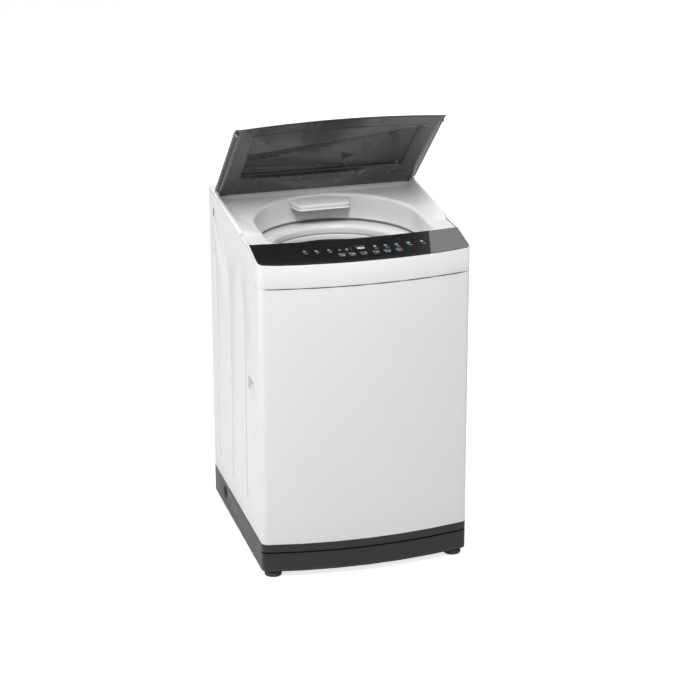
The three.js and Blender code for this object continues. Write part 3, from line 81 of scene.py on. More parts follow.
class Effects:
    """Node groups that several finishes share, each built once."""

    def __init__(self) -> None:
        """Builds every group."""
        self.cloud = self._cloud()
        self.grain = self._grain()
        self.brush = self._brush()
        self.settle = self._settle()

    @staticmethod
    def _group(name: str, inputs: Sequence[tuple[str, str, float]], outputs: Sequence[tuple[str, str]]):
        """Starts a node group with its sockets.

        Args:
            name: the group's name.
            inputs: name, kind and first value of each input; a vector or colour takes no value.
            outputs: name and kind of each output.

        Returns:
            The tree, its input node and its output node.
        """
        tree = bpy.data.node_groups.new(name, "ShaderNodeTree")
        for label, kind, value in inputs:
            socket = tree.interface.new_socket(label, in_out="INPUT", socket_type="NodeSocket" + kind)
            if kind == "Float":
                socket.default_value = value
        for label, kind in outputs:
            tree.interface.new_socket(label, in_out="OUTPUT", socket_type="NodeSocket" + kind)
        return tree, tree.nodes.new("NodeGroupInput"), tree.nodes.new("NodeGroupOutput")

    def _cloud(self) -> bpy.types.NodeTree:
        """Slow drift between two values, as moulding and handling leave it."""
        tree, start, end = self._group(
            "Cloud",
            [("Vector", "Vector", 0), ("Scale", "Float", 8), ("Low", "Float", 0), ("High", "Float", 1)],
            [("Value", "Float")],
        )
        noise = tree.nodes.new("ShaderNodeTexNoise")
        noise.inputs["Detail"].default_value = 3
        ramp = tree.nodes.new("ShaderNodeMapRange")
        ramp.inputs["From Min"].default_value = 0.3
        ramp.inputs["From Max"].default_value = 0.7
        link = tree.links.new
        link(start.outputs["Vector"], noise.inputs["Vector"])
        link(start.outputs["Scale"], noise.inputs["Scale"])
        link(noise.outputs["Fac"], ramp.inputs["Value"])
        link(start.outputs["Low"], ramp.inputs["To Min"])
        link(start.outputs["High"], ramp.inputs["To Max"])
        link(ramp.outputs["Result"], end.inputs["Value"])
        return tree

    def _grain(self) -> bpy.types.NodeTree:
        """Fine pebbled relief of a coat of paint or a textured mould."""
        tree, start, end = self._group(
            "Grain", [("Vector", "Vector", 0), ("Scale", "Float", 500)], [("Height", "Float")]
        )
        pebble = tree.nodes.new("ShaderNodeTexVoronoi")
        pebble.feature = "SMOOTH_F1"
        noise = tree.nodes.new("ShaderNodeTexNoise")
        noise.inputs["Detail"].default_value = 2
        add = tree.nodes.new("ShaderNodeMath")
        add.operation = "ADD"
        link = tree.links.new
        for texture in (pebble, noise):
            link(start.outputs["Vector"], texture.inputs["Vector"])
            link(start.outputs["Scale"], texture.inputs["Scale"])
        link(pebble.outputs["Distance"], add.inputs[0])
        link(noise.outputs["Fac"], add.inputs[1])
        link(add.outputs["Value"], end.inputs["Height"])
        return tree

    def _brush(self) -> bpy.types.NodeTree:
        """Long fine lines of rolled or polished sheet, round the machine's upright axis."""
        tree, start, end = self._group(
            "Brush", [("Vector", "Vector", 0), ("Scale", "Float", 60), ("Stretch", "Float", 30)],
            [("Lines", "Float")],
        )
        parts = tree.nodes.new("ShaderNodeSeparateXYZ")
        tall = tree.nodes.new("ShaderNodeMath")
        tall.operation = "MULTIPLY"
        join = tree.nodes.new("ShaderNodeCombineXYZ")
        noise = tree.nodes.new("ShaderNodeTexNoise")
        noise.inputs["Detail"].default_value = 4
        noise.inputs["Roughness"].default_value = 0.7
        link = tree.links.new
        link(start.outputs["Vector"], parts.inputs[0])
        link(parts.outputs["X"], join.inputs["X"])
        link(parts.outputs["Y"], join.inputs["Y"])
        link(parts.outputs["Z"], tall.inputs[0])
        link(start.outputs["Stretch"], tall.inputs[1])
        link(tall.outputs[0], join.inputs["Z"])
        link(join.outputs[0], noise.inputs["Vector"])
        link(start.outputs["Scale"], noise.inputs["Scale"])
        link(noise.outputs["Fac"], end.inputs["Lines"])
        return tree

    def _settle(self) -> bpy.types.NodeTree:
        """Mask of the dust that settles close to the floor, broken up by noise."""
        tree, start, end = self._group(
            "Settle", [("Vector", "Vector", 0), ("Height", "Float", 0.12)], [("Mask", "Float")]
        )
        place = tree.nodes.new("ShaderNodeSeparateXYZ")
        low = tree.nodes.new("ShaderNodeMapRange")
        low.inputs["From Min"].default_value = 0.0
        low.inputs["To Min"].default_value = 1.0
        low.inputs["To Max"].default_value = 0.0
        noise = tree.nodes.new("ShaderNodeTexNoise")
        noise.inputs["Scale"].default_value = 22
        noise.inputs["Detail"].default_value = 6
        product = tree.nodes.new("ShaderNodeMath")
        product.operation = "MULTIPLY"
        link = tree.links.new
        link(start.outputs["Vector"], place.inputs[0])
        link(place.outputs["Z"], low.inputs["Value"])
        link(start.outputs["Height"], low.inputs["From Max"])
        link(start.outputs["Vector"], noise.inputs["Vector"])
        link(low.outputs["Result"], product.inputs[0])
        link(noise.outputs["Fac"], product.inputs[1])
        link(product.outputs[0], end.inputs["Mask"])
        return tree


# ---------------------------------------------------------------------------------------------------
# Finishes


@dataclass(frozen=True)
class Finish:
    """A surface with colour drift, gloss drift and a fine relief.

    Sizes are in metres; tone and gloss are the drift of colour and roughness to each side.
    """

    name: str
    slot: str
    colour: Colour
    roughness: float
    metallic: float = 0.0
    tone: float = 0.02
    gloss: float = 0.05
    patch: float = 0.12
    grain: float = 0.0012
    relief: float = 0.00002
    coat: float = 0.0
    specular: float = 0.5
    dust: float = 0.0
    dust_colour: Colour = (0.42, 0.40, 0.37)

    def start(self) -> tuple[bpy.types.Material, bpy.types.Node, bpy.types.Node]:
        """Starts the material.

        Returns:
            The material, its Principled shader and its Texture Coordinate node.
        """
        material = bpy.data.materials.new(self.name)
        material.use_nodes = True
        tree = material.node_tree
        shader = tree.nodes["Principled BSDF"]
        shader.inputs["Metallic"].default_value = self.metallic
        shader.inputs["Coat Weight"].default_value = self.coat
        shader.inputs["Coat Roughness"].default_value = 0.05
        shader.inputs["Specular IOR Level"].default_value = self.specular
        return material, shader, tree.nodes.new("ShaderNodeTexCoord")

    @staticmethod
    def effect(material: bpy.types.Material, group: bpy.types.NodeTree, vector, **values: float):
        """Places a shared effect in the material.

        Args:
            material: the material.
            group: the effect's node group.
            vector: the socket that the pattern's place comes from.
            values: the effect's own numbers by socket name.

        Returns:
            The group node.
        """
        node = material.node_tree.nodes.new("ShaderNodeGroup")
        node.node_tree = group
        material.node_tree.links.new(vector, node.inputs["Vector"])
        for label, value in values.items():
            node.inputs[label].default_value = value
        return node

    def mixed(self, material: bpy.types.Material, mask, low: Colour, high: Colour):
        """Mixes two colours by a mask.

        Args:
            material: the material.
            mask: the socket of the mask.
            low: the colour where the mask is 0.
            high: the colour where the mask is 1.

        Returns:
            The mixed colour's socket.
        """
        mix = material.node_tree.nodes.new("ShaderNodeMix")
        mix.data_type = "RGBA"
        mix.inputs["A"].default_value = (*low, 1)
        mix.inputs["B"].default_value = (*high, 1)
        material.node_tree.links.new(mask, mix.inputs["Factor"])
        return mix.outputs["Result"]

    def build(self, effects: Effects) -> bpy.types.Material:
        """Builds the material.

        Args:
            effects: the shared node groups.

        Returns:
            The finished material.
        """
        material, shader, place = self.start()
        tree = material.node_tree
        link = tree.links.new
        vector = place.outputs["Object"]
        drift = self.effect(material, effects.cloud, vector, Scale=1 / self.patch, Low=0.0, High=1.0)
        darker = tuple(max(0.0, c * (1 - self.tone)) for c in self.colour)
        lighter = tuple(min(1.0, c * (1 + self.tone)) for c in self.colour)
        colour = self.mixed(material, drift.outputs["Value"], darker, lighter)
        if self.dust:
            settle = self.effect(material, effects.settle, vector, Height=self.dust)
            dusty = tree.nodes.new("ShaderNodeMix")
            dusty.data_type = "RGBA"
            dusty.inputs["B"].default_value = (*self.dust_colour, 1)
            weak = tree.nodes.new("ShaderNodeMath")
            weak.operation = "MULTIPLY"
            weak.inputs[1].default_value = 0.22
            link(settle.outputs["Mask"], weak.inputs[0])
            link(weak.outputs[0], dusty.inputs["Factor"])
            link(colour, dusty.inputs["A"])
            colour = dusty.outputs["Result"]
        link(colour, shader.inputs["Base Color"])
        self.surface(material, shader, vector, effects)
        return material

    def surface(self, material: bpy.types.Material, shader, vector, effects: Effects) -> None:
        """Gives the material its roughness and relief.

        Args:
            material: the material.
            shader: its Principled shader.
            vector: the socket that patterns take their place from.
            effects: the shared node groups.
        """
        link = material.node_tree.links.new
        low, high = max(0.02, self.roughness - self.gloss), self.roughness + self.gloss
        wipes = self.effect(material, effects.cloud, vector, Scale=3.1 / self.patch, Low=low, High=high)
        link(wipes.outputs["Value"], shader.inputs["Roughness"])
        relief = self.effect(material, effects.grain, vector, Scale=1 / self.grain)
        bump = material.node_tree.nodes.new("ShaderNodeBump")
        bump.inputs["Distance"].default_value = self.relief
        link(relief.outputs["Height"], bump.inputs["Height"])
        link(bump.outputs["Normal"], shader.inputs["Normal"])


@dataclass(frozen=True)
class BrushedFinish(Finish):
    """Rolled or polished metal with fine lines."""

    lines: float = 60.0
    stretch: float = 30.0

    def surface(self, material: bpy.types.Material, shader, vector, effects: Effects) -> None:
        """Gives the metal its lines.

        Args:
            material: the material.
            shader: its Principled shader.
            vector: the socket that patterns take their place from.
            effects: the shared node groups.
        """
        tree = material.node_tree
        lines = self.effect(material, effects.brush, vector, Scale=self.lines, Stretch=self.stretch)
        gloss = tree.nodes.new("ShaderNodeMapRange")
        gloss.inputs["To Min"].default_value = max(0.03, self.roughness - self.gloss)
        gloss.inputs["To Max"].default_value = self.roughness + self.gloss
        bump = tree.nodes.new("ShaderNodeBump")
        bump.inputs["Distance"].default_value = self.relief
        tree.links.new(lines.outputs["Lines"], gloss.inputs["Value"])
        tree.links.new(gloss.outputs["Result"], shader.inputs["Roughness"])
        tree.links.new(lines.outputs["Lines"], bump.inputs["Height"])
        tree.links.new(bump.outputs["Normal"], shader.inputs["Normal"])


@dataclass(frozen=True)
class GlassFinish(Finish):
    """Tinted see-through sheet with faint wipe marks."""

    transmission: float = 1.0

    def build(self, effects: Effects) -> bpy.types.Material:
        """Builds the glass.

        Args:
            effects: the shared node groups.

        Returns:
            The finished material.
        """
        material = super().build(effects)
        shader = material.node_tree.nodes["Principled BSDF"]
        shader.inputs["Transmission Weight"].default_value = self.transmission
        shader.inputs["IOR"].default_value = 1.5
        return material


@dataclass(frozen=True)
class LitFinish(Finish):
    """Printed or lit mark that gives off a little light of its own."""

    glow: float = 0.3

    def build(self, effects: Effects) -> bpy.types.Material:
        """Builds the lit mark.

        Args:
            effects: the shared node groups.

        Returns:
            The finished material.
        """
        material = super().build(effects)
        shader = material.node_tree.nodes["Principled BSDF"]
        shader.inputs["Emission Color"].default_value = (*self.colour, 1)
        shader.inputs["Emission Strength"].default_value = self.glow
        return material


FINISHES: tuple[Finish, ...] = (
    Finish("powder_coat", "white_sheet", (0.735, 0.735, 0.74), 0.34, grain=0.0016, relief=0.000010, tone=0.010,
           patch=0.35, dust=0.16, gloss=0.04),
    Finish("gloss_white", "white_plastic", (0.80, 0.80, 0.805), 0.24, grain=0.0009, relief=0.000003,
           tone=0.008, patch=0.2, gloss=0.03),
    Finish("panel_film", "panel_black", (0.012, 0.011, 0.012), 0.30, grain=0.0007, relief=0.000002, tone=0.15,
           patch=0.08, gloss=0.04, specular=0.35),
    Finish("panel_grey", "panel_grey", (0.155, 0.152, 0.153), 0.22, grain=0.0007, relief=0.000003, tone=0.05),
    Finish("lid_moulding", "lid_plastic", (0.036, 0.036, 0.037), 0.26, grain=0.0007, relief=0.000001,
           tone=0.03, patch=0.09, gloss=0.02, coat=0.25),
    GlassFinish("tinted_glass", "tinted_glass", (0.030, 0.030, 0.032), 0.030, grain=0.03, relief=0.0000002,
                tone=0.03, gloss=0.008, patch=0.15),
    Finish("base_moulding", "base_plastic", (0.014, 0.014, 0.015), 0.36, grain=0.002, relief=0.000004,
           tone=0.06, patch=0.1, dust=0.03, specular=0.4, gloss=0.03),
    Finish("tub_moulding", "tub_plastic", (0.56, 0.58, 0.59), 0.42, grain=0.0014, relief=0.00002, tone=0.04),
    Finish("black_moulding", "black_plastic", (0.018, 0.018, 0.019), 0.44, grain=0.0008, relief=0.00003,
           tone=0.12, patch=0.05),
    # painted shade: near-black finish for pieces that stand in for the shadow inside gaps, grooves and slots
    Finish("painted_shade_black", "black_plastic", (0.002, 0.002, 0.002), 0.7, grain=0.002, relief=0.000004,
           tone=0.2, patch=0.05, specular=0.1),
    BrushedFinish("zinc_steel", "steel", (0.55, 0.56, 0.56), 0.34, 1.0, lines=45.0, stretch=4.0,
                  relief=0.00001, tone=0.08, patch=0.03, gloss=0.12),
    BrushedFinish("drum_sheet", "drum_steel", (0.70, 0.71, 0.72), 0.24, 1.0, lines=22.0, stretch=60.0,
                  relief=0.000006, tone=0.03, gloss=0.08),
    Finish("cast_aluminium", "aluminium", (0.52, 0.53, 0.53), 0.48, 1.0, grain=0.0016, relief=0.00008,
           tone=0.1, patch=0.04, gloss=0.1),
    Finish("rubber_moulding", "rubber", (0.016, 0.016, 0.016), 0.62, grain=0.0011, relief=0.00004, tone=0.2,
           patch=0.03, dust=0.03),
    Finish("pale_rubber", "rubber", (0.30, 0.30, 0.31), 0.35, grain=0.0011, relief=0.00002, tone=0.1,
           patch=0.01),
    Finish("solder_mask", "circuit_board", (0.018, 0.085, 0.035), 0.3, grain=0.002, relief=0.00004, tone=0.3,
           patch=0.01, coat=0.3),
    LitFinish("white_print", "panel_black", (0.72, 0.73, 0.74), 0.4, glow=0.12, tone=0.05, patch=0.004),
    LitFinish("cyan_print", "panel_black", (0.10, 0.50, 0.62), 0.4, glow=0.35, tone=0.05, patch=0.004),
    LitFinish("lit_digits", "panel_black", (0.90, 0.93, 0.95), 0.4, glow=0.8, tone=0.02, patch=0.004),
)


class Finishes:
    """The finished materials, by name and by the record's slot."""

    def __init__(self) -> None:
        """Builds every finish."""
        effects = Effects()
        self.slot_of = {finish.name: finish.slot for finish in FINISHES}
        self.materials = {finish.name: finish.build(effects) for finish in FINISHES}
        self.by_slot: dict[str, str] = {}
        for finish in FINISHES:
            self.by_slot.setdefault(finish.slot, finish.name)

    def dress(self, piece: bpy.types.Object, name: str) -> None:
        """Puts a finish on a piece.

        Args:
            piece: the piece.
            name: the finish's name.
        """
        piece.data.materials.clear()
        piece.data.materials.append(self.materials[name])

    def dress_frame(self) -> None:
        """Gives every node of the frame the finish of its slot."""
        slots = {part["node"]: part["material_slot"] for part in frame["record"]["subparts"]}
        for node, slot in slots.items():
            for place in frame["nodes"][node].material_slots:
                place.material = self.materials[self.by_slot[slot]]


# ---------------------------------------------------------------------------------------------------
# Modelling moves


class Bench:
    """Moves that the sub-assemblies share when they model a piece."""

    @staticmethod
    def clear() -> None:
        """Goes to object mode with nothing selected."""
        if bpy.context.object and bpy.context.object.mode != "OBJECT":
            bpy.ops.object.mode_set(mode="OBJECT")
        bpy.ops.object.select_all(action="DESELECT")

    @staticmethod
    def hold(piece: bpy.types.Object) -> None:
        """Selects one piece and makes it active."""
        Bench.clear()
        piece.select_set(True)
        bpy.context.view_layer.objects.active = piece

    @staticmethod
    def edit(piece: bpy.types.Object, kind: str = "FACE") -> None:
        """Opens a piece in edit mode with nothing selected.

        Args:
            piece: the piece.
            kind: VERT, EDGE or FACE.
        """
        Bench.hold(piece)
        bpy.ops.object.mode_set(mode="EDIT")
        bpy.ops.mesh.select_mode(type=kind)
        bpy.ops.mesh.select_all(action="DESELECT")

    @staticmethod
    def pick(piece: bpy.types.Object, test: Callable[[bpy.types.MeshPolygon], bool]) -> int:
        """Selects the faces that pass a test, and stays in edit mode.

        Args:
            piece: the piece, in edit mode.
            test: takes a face and says whether to select it.

        Returns:
            The number of faces selected.
        """
        bpy.ops.mesh.select_mode(type="FACE")
        bpy.ops.mesh.select_all(action="DESELECT")
        bpy.ops.object.mode_set(mode="OBJECT")
        count = 0
        for face in piece.data.polygons:
            face.select = bool(test(face))
            count += face.select
        bpy.ops.object.mode_set(mode="EDIT")
        return count

    @staticmethod
    def settle(piece: bpy.types.Object, smooth: float = 35.0) -> bpy.types.Object:
        """Puts a piece's place into its mesh and shades it.

        Args:
            piece: the piece.
            smooth: edges flatter than this many degrees are shaded smooth.

        Returns:
            The piece.
        """
        Bench.hold(piece)
        bpy.ops.object.transform_apply(location=True, rotation=True, scale=True)
        bpy.ops.object.shade_smooth_by_angle(angle=math.radians(smooth))
        return piece

    @staticmethod
    def outward(piece: bpy.types.Object, merge: float = 1e-6) -> None:
        """Merges doubles and turns the faces outwards.

        Args:
            piece: the piece.
            merge: points closer than this become one.
        """
        Bench.edit(piece, "VERT")
        bpy.ops.mesh.select_all(action="SELECT")
        bpy.ops.mesh.remove_doubles(threshold=merge)
        bpy.ops.mesh.normals_make_consistent(inside=False)
        bpy.ops.object.mode_set(mode="OBJECT")

    @staticmethod
    def modify(piece: bpy.types.Object, kind: str, **values: object) -> None:
        """Adds a modifier and applies it.

        Args:
            piece: the piece.
            kind: the modifier's type.
            values: its settings.
        """
        Bench.hold(piece)
        modifier = piece.modifiers.new(kind.lower(), kind)
        for label, value in values.items():
            setattr(modifier, label, value)
        bpy.ops.object.modifier_apply(modifier=modifier.name)

    @staticmethod
    def round_edges(piece: bpy.types.Object, width: float, segments: int = 2, angle: float = 32.0) -> None:
        """Rounds the sharp edges of a piece.

        Args:
            piece: the piece.
            width: the bevel's width.
            segments: its steps.
            angle: edges sharper than this many degrees are rounded.
        """
        Bench.modify(piece, "BEVEL", width=width, segments=segments, limit_method="ANGLE",
                     angle_limit=math.radians(angle), use_clamp_overlap=False, harden_normals=False)

    @staticmethod
    def block(name: str, low: Point, high: Point) -> bpy.types.Object:
        """Adds a block between two corners.

        Args:
            name: the piece's name.
            low: its lowest corner.
            high: its highest corner.

        Returns:
            The block, as a start for more modelling.
        """
        Bench.clear()
        middle = [(a + b) / 2 for a, b in zip(low, high)]
        bpy.ops.mesh.primitive_cube_add(size=1, location=middle)
        piece = bpy.context.object
        piece.name = name
        piece.scale = [b - a for a, b in zip(low, high)]
        bpy.ops.object.transform_apply(location=True, rotation=True, scale=True)
        return piece

    @staticmethod
    def disc(name: str, radius: float, depth: float, middle: Point, axis: Axis = Axis.Z,
             sides: int = 32) -> bpy.types.Object:
        """Adds a round bar.

        Args:
            name: the piece's name.
            radius: its radius.
            depth: its length along the axis.
            middle: its middle.
            axis: the way it stands.
            sides: its sides.

        Returns:
            The bar, as a start for more modelling.
        """
        Bench.clear()
        turn = {Axis.X: (0, math.pi / 2, 0), Axis.Y: (math.pi / 2, 0, 0), Axis.Z: (0, 0, 0)}[axis]
        bpy.ops.mesh.primitive_cylinder_add(vertices=sides, radius=radius, depth=depth, location=middle,
                                            rotation=turn)
        piece = bpy.context.object
        piece.name = name
        bpy.ops.object.transform_apply(location=True, rotation=True, scale=True)
        return piece

    @staticmethod
    def spun(name: str, outline: Sequence[tuple[float, float]], centre: Point, steps: int = 64,
             axis: Axis = Axis.Z, closed: bool = True) -> bpy.types.Object:
        """Spins an outline round an axis.

        Args:
            name: the piece's name.
            outline: (radius, height) points in order.
            centre: where radius and height are zero.
            steps: steps round.
            axis: the way it stands.
            closed: whether the outline's ends meet.

        Returns:
            The turned piece.
        """
        Bench.clear()
        bpy.ops.mesh.primitive_circle_add(vertices=len(outline), radius=1)
        piece = bpy.context.object
        piece.name = name
        along = Vector(axis.value)
        side = Vector(Axis.X.value if axis is not Axis.X else Axis.Z.value)
        for vertex, (radius, height) in zip(piece.data.vertices, outline):
            vertex.co = Vector(centre) + side * radius + along * height
        if not closed:
            ends = {0, len(outline) - 1}
            for edge in piece.data.edges:
                edge.select = set(edge.vertices) == ends
            bpy.ops.object.mode_set(mode="EDIT")
            bpy.ops.mesh.select_mode(type="EDGE")
            bpy.ops.object.mode_set(mode="OBJECT")
            for edge in piece.data.edges:
                edge.select = set(edge.vertices) == ends
            bpy.ops.object.mode_set(mode="EDIT")
            bpy.ops.mesh.delete(type="EDGE")
            bpy.ops.object.mode_set(mode="OBJECT")
        Bench.edit(piece, "EDGE")
        bpy.ops.mesh.select_all(action="SELECT")
        bpy.ops.mesh.spin(steps=steps, angle=2 * math.pi, center=centre, axis=axis.value, use_auto_merge=True)
        bpy.ops.object.mode_set(mode="OBJECT")
        Bench.outward(piece, 2e-6)
        return piece

    @staticmethod
    def hose(name: str, route: Sequence[Point], radius: float, sides: int = 4, fine: int = 12,
             ribs: float = 0.0) -> bpy.types.Object:
        """Runs a round tube along a smooth route.

        Args:
            name: the piece's name.
            route: the points it passes.
            radius: its radius.
            sides: the curve's bevel resolution.
            fine: steps between two points.
            ribs: share of the radius that every other step draws in, as a corrugated hose does.

        Returns:
            The tube as a mesh.
        """
        Bench.clear()
        places = [Vector(point) for point in route]
        ends = [places[0] * 2 - places[1]] + places + [places[-1] * 2 - places[-2]]
        path = []
        for before, start, stop, after in zip(ends, ends[1:], ends[2:], ends[3:]):
            for i in range(fine):
                s = i / fine
                path.append(0.5 * (2 * start + (stop - before) * s
                                   + (2 * before - 5 * start + 4 * stop - after) * s ** 2
                                   + (3 * start - before - 3 * stop + after) * s ** 3))
        path.append(places[-1])
        curve = bpy.data.curves.new(name, "CURVE")
        curve.dimensions = "3D"
        curve.bevel_depth = radius
        curve.bevel_resolution = sides
        curve.use_fill_caps = True
        spline = curve.splines.new("POLY")
        spline.points.add(len(path) - 1)
        for i, (point, place) in enumerate(zip(spline.points, path)):
            point.co = (*place, 1)
            point.radius = 1 - ribs * (i % 2)
        piece = bpy.data.objects.new(name, curve)
        bpy.context.collection.objects.link(piece)
        Bench.hold(piece)
        bpy.ops.object.convert(target="MESH")
        piece = bpy.context.object
        Bench.outward(piece)
        return piece

    @staticmethod
    def lofted(name: str, loops: Sequence[Sequence[Point]]) -> bpy.types.Object:
        """Bridges a row of closed loops into one skin.

        Args:
            name: the piece's name.
            loops: the loops in order, each with the same number of points.

        Returns:
            The skin.
        """
        rings = []
        for loop in loops:
            Bench.clear()
            bpy.ops.mesh.primitive_circle_add(vertices=len(loop), radius=1)
            ring = bpy.context.object
            for vertex, place in zip(ring.data.vertices, loop):
                vertex.co = place
            rings.append(ring)
        skin = Bench.joined(name, rings)
        Bench.edit(skin, "EDGE")
        bpy.ops.mesh.select_all(action="SELECT")
        bpy.ops.mesh.bridge_edge_loops(type="PAIRS" if len(loops) == 2 else "SINGLE")
        bpy.ops.object.mode_set(mode="OBJECT")
        return skin

    @staticmethod
    def closed(piece: bpy.types.Object, merge: float = 1e-5) -> bpy.types.Object:
        """Merges a skin's meeting ends, fills what stays open and turns its faces outwards."""
        Bench.edit(piece, "VERT")
        bpy.ops.mesh.select_all(action="SELECT")
        bpy.ops.mesh.remove_doubles(threshold=merge)
        bpy.ops.mesh.select_all(action="SELECT")
        bpy.ops.mesh.fill_holes(sides=0)
        bpy.ops.mesh.select_all(action="SELECT")
        bpy.ops.mesh.normals_make_consistent(inside=False)
        bpy.ops.object.mode_set(mode="OBJECT")
        return piece

    @staticmethod
    def from_frame(node: str, name: str, bevel: float = 0.0006, segments: int = 2,
                   angle: float = 32.0) -> bpy.types.Object:
        """Takes a copy of a frame node, merges it and rounds its edges.

        Args:
            node: the frame node.
            name: the new piece's name.
            bevel: the width of the rounded edges, or 0 for none.
            segments: steps of the rounding.
            angle: edges sharper than this many degrees are rounded.

        Returns:
            The new piece.
        """
        Bench.clear()
        source = frame["nodes"][node]
        piece = bpy.data.objects.new(name, source.data.copy())
        bpy.context.collection.objects.link(piece)
        Bench.hold(piece)
        if piece.data.has_custom_normals:
            bpy.ops.mesh.customdata_custom_splitnormals_clear()
        Bench.edit(piece, "VERT")
        bpy.ops.mesh.select_all(action="SELECT")
        bpy.ops.mesh.remove_doubles(threshold=2e-5)
        bpy.ops.object.mode_set(mode="OBJECT")
        if bevel:
            Bench.round_edges(piece, bevel, segments, angle)
        return piece

    @staticmethod
    def joined(name: str, pieces: Sequence[bpy.types.Object]) -> bpy.types.Object:
        """Joins pieces into one mesh.

        Args:
            name: the joined piece's name.
            pieces: the pieces, each used up.

        Returns:
            The joined piece.
        """
        Bench.clear()
        for piece in pieces:
            piece.select_set(True)
        bpy.context.view_layer.objects.active = pieces[0]
        if len(pieces) > 1:
            bpy.ops.object.join()
        pieces[0].name = name
        return pieces[0]

    @staticmethod
    def copied(piece: bpy.types.Object, name: str, move: Matrix) -> bpy.types.Object:
        """Copies a piece with its own mesh, moved.

        Args:
            piece: the piece.
            name: the copy's name.
            move: where it goes.

        Returns:
            The copy.
        """
        twin = bpy.data.objects.new(name, piece.data.copy())
        bpy.context.collection.objects.link(twin)
        twin.data.transform(move)
        return twin


# ---------------------------------------------------------------------------------------------------
# Sub-assemblies


class SubAssembly:
    """Part of the machine that builds its own pieces and says what each rides on."""

    def __init__(self, finishes: Finishes) -> None:
        """Keeps the finishes."""
        self.finishes = finishes

    def place(self, piece: bpy.types.Object, body: str, finish: str, *nodes: str,
              smooth: float = 35.0) -> bpy.types.Object:
        """Settles, dresses and rides a piece.

        Args:
            piece: the piece.
            body: the body that it moves with.
            finish: its finish.
            nodes: the frame nodes that it stands for.
            smooth: edges flatter than this many degrees are shaded smooth.

        Returns:
            The piece.
        """
        Bench.settle(piece, smooth)
        self.finishes.dress(piece, finish)
        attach(piece, body)
        if nodes:
            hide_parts(*nodes)
        log.info("%s rides on %s", piece.name, body)
        return piece


def middle(node: str) -> Vector:
    """Gives the middle of a frame node's box."""
    low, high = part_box(node)
    return (Vector(low) + Vector(high)) / 2


@dataclass
class Cabinet(SubAssembly):
    """Sheet wrap, rear panel, cord gland and the screws that hold them."""

    finishes: Finishes
    edge: float = 0.0007
    screw_radius: float = 0.0042
    rib_depth: float = 0.0022

    def build(self) -> None:
        """Builds the cabinet's pieces."""
        wrap = Bench.from_frame("cabinet_wrap", "cabinet_sheet", self.edge)
        self.place(wrap, "cabinet", "powder_coat", "cabinet_wrap")
        self.rear_panel()
        self.seam()
        gland = Bench.from_frame("cord_gland", "cord_bush", 0.0008)
        self.place(gland, "cabinet", "black_moulding", "cord_gland")
        self.screws()

    def seam(self) -> None:
        """Dark strip of painted shade along the seam between the front sheet and the fascia, standing in for the
        gap's shadow.
        """
        half, front_y, bow, seam_z = 0.2745, -0.268, 0.032, 0.7838
        radius = (half ** 2 + bow ** 2) / (2 * bow)
        stations = [-0.2585 + 0.517 * i / 40 for i in range(41)]
        line = [(x, front_y - bow + radius - math.sqrt(radius ** 2 - x * x)) for x in stations]
        loops = []
        for deep, low, high in ((0.0006, -0.0002, 0.0006), (-0.00008, -0.0005, 0.0009)):
            front = [(x, y + deep, seam_z + low) for x, y in line]
            back = [(x, y + deep, seam_z + high) for x, y in reversed(line)]
            loops.append(front + back)
        # painted shade: a thin near-black strip just in front of the seam draws the shadow of the gap
        strip = Bench.closed(Bench.lofted("seam_shade_strip", loops))
        self.place(strip, "cabinet", "painted_shade_black")

    def rear_panel(self) -> None:
        """Sheet with a raised field pressed into it."""
        low, high = (Vector(p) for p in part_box("rear_panel"))
        panel = Bench.from_frame("rear_panel", "rear_sheet", 0.0004)
        field_low, field_high = low + Vector((0.05, 0, 0.12)), high - Vector((0.05, 0, 0.06))
        pressed = Bench.block("rear_field", (field_low.x, high.y - 0.0002, field_low.z),
                              (field_high.x, high.y + 0.0002, field_high.z))
        bpy.ops.object.mode_set(mode="EDIT")
        Bench.pick(pressed, lambda face: face.normal.y > 0.9)
        bpy.ops.mesh.inset(thickness=0.012)
        bpy.ops.transform.translate(value=(0, 0.0012, 0))
        Bench.pick(pressed, lambda face: face.normal.y > 0.9 and face.area > 0.05)
        bpy.ops.mesh.inset(thickness=0.03)
        bpy.ops.mesh.inset(thickness=0.006)
        bpy.ops.transform.translate(value=(0, -0.0010, 0))
        bpy.ops.object.mode_set(mode="OBJECT")
        Bench.round_edges(pressed, 0.0005, 2, 3.0)
        self.place(panel, "cabinet", "powder_coat", "rear_panel")
        self.place(pressed, "cabinet", "powder_coat")

    def screws(self) -> None:
        """Screws with raised, recessed heads along the rear panel's edges."""
        low, high = (Vector(p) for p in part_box("rear_panel"))
        head = Bench.disc("rear_screw", self.screw_radius, 0.0016, (0, 0, 0), Axis.Y, 24)
        bpy.ops.object.mode_set(mode="EDIT")
        Bench.pick(head, lambda face: face.normal.y > 0.9)
        bpy.ops.mesh.inset(thickness=0.0012)
        bpy.ops.transform.translate(value=(0, 0.0006, 0))
        bpy.ops.mesh.inset(thickness=0.0016)
        bpy.ops.mesh.extrude_region_move(TRANSFORM_OT_translate={"value": (0, -0.0009, 0)})
        bpy.ops.object.mode_set(mode="OBJECT")
        spots = [(x, z) for x in (low.x + 0.006, high.x - 0.006)
                 for z in (low.z + 0.03, (low.z + high.z) / 2, high.z - 0.03)]
        screws = [Bench.copied(head, f"screw_{i}", Matrix.Translation((x, high.y + 0.0008, z)))
                  for i, (x, z) in enumerate(spots)]
        bpy.data.objects.remove(head)
        self.place(Bench.joined("rear_screws", screws), "cabinet", "zinc_steel")


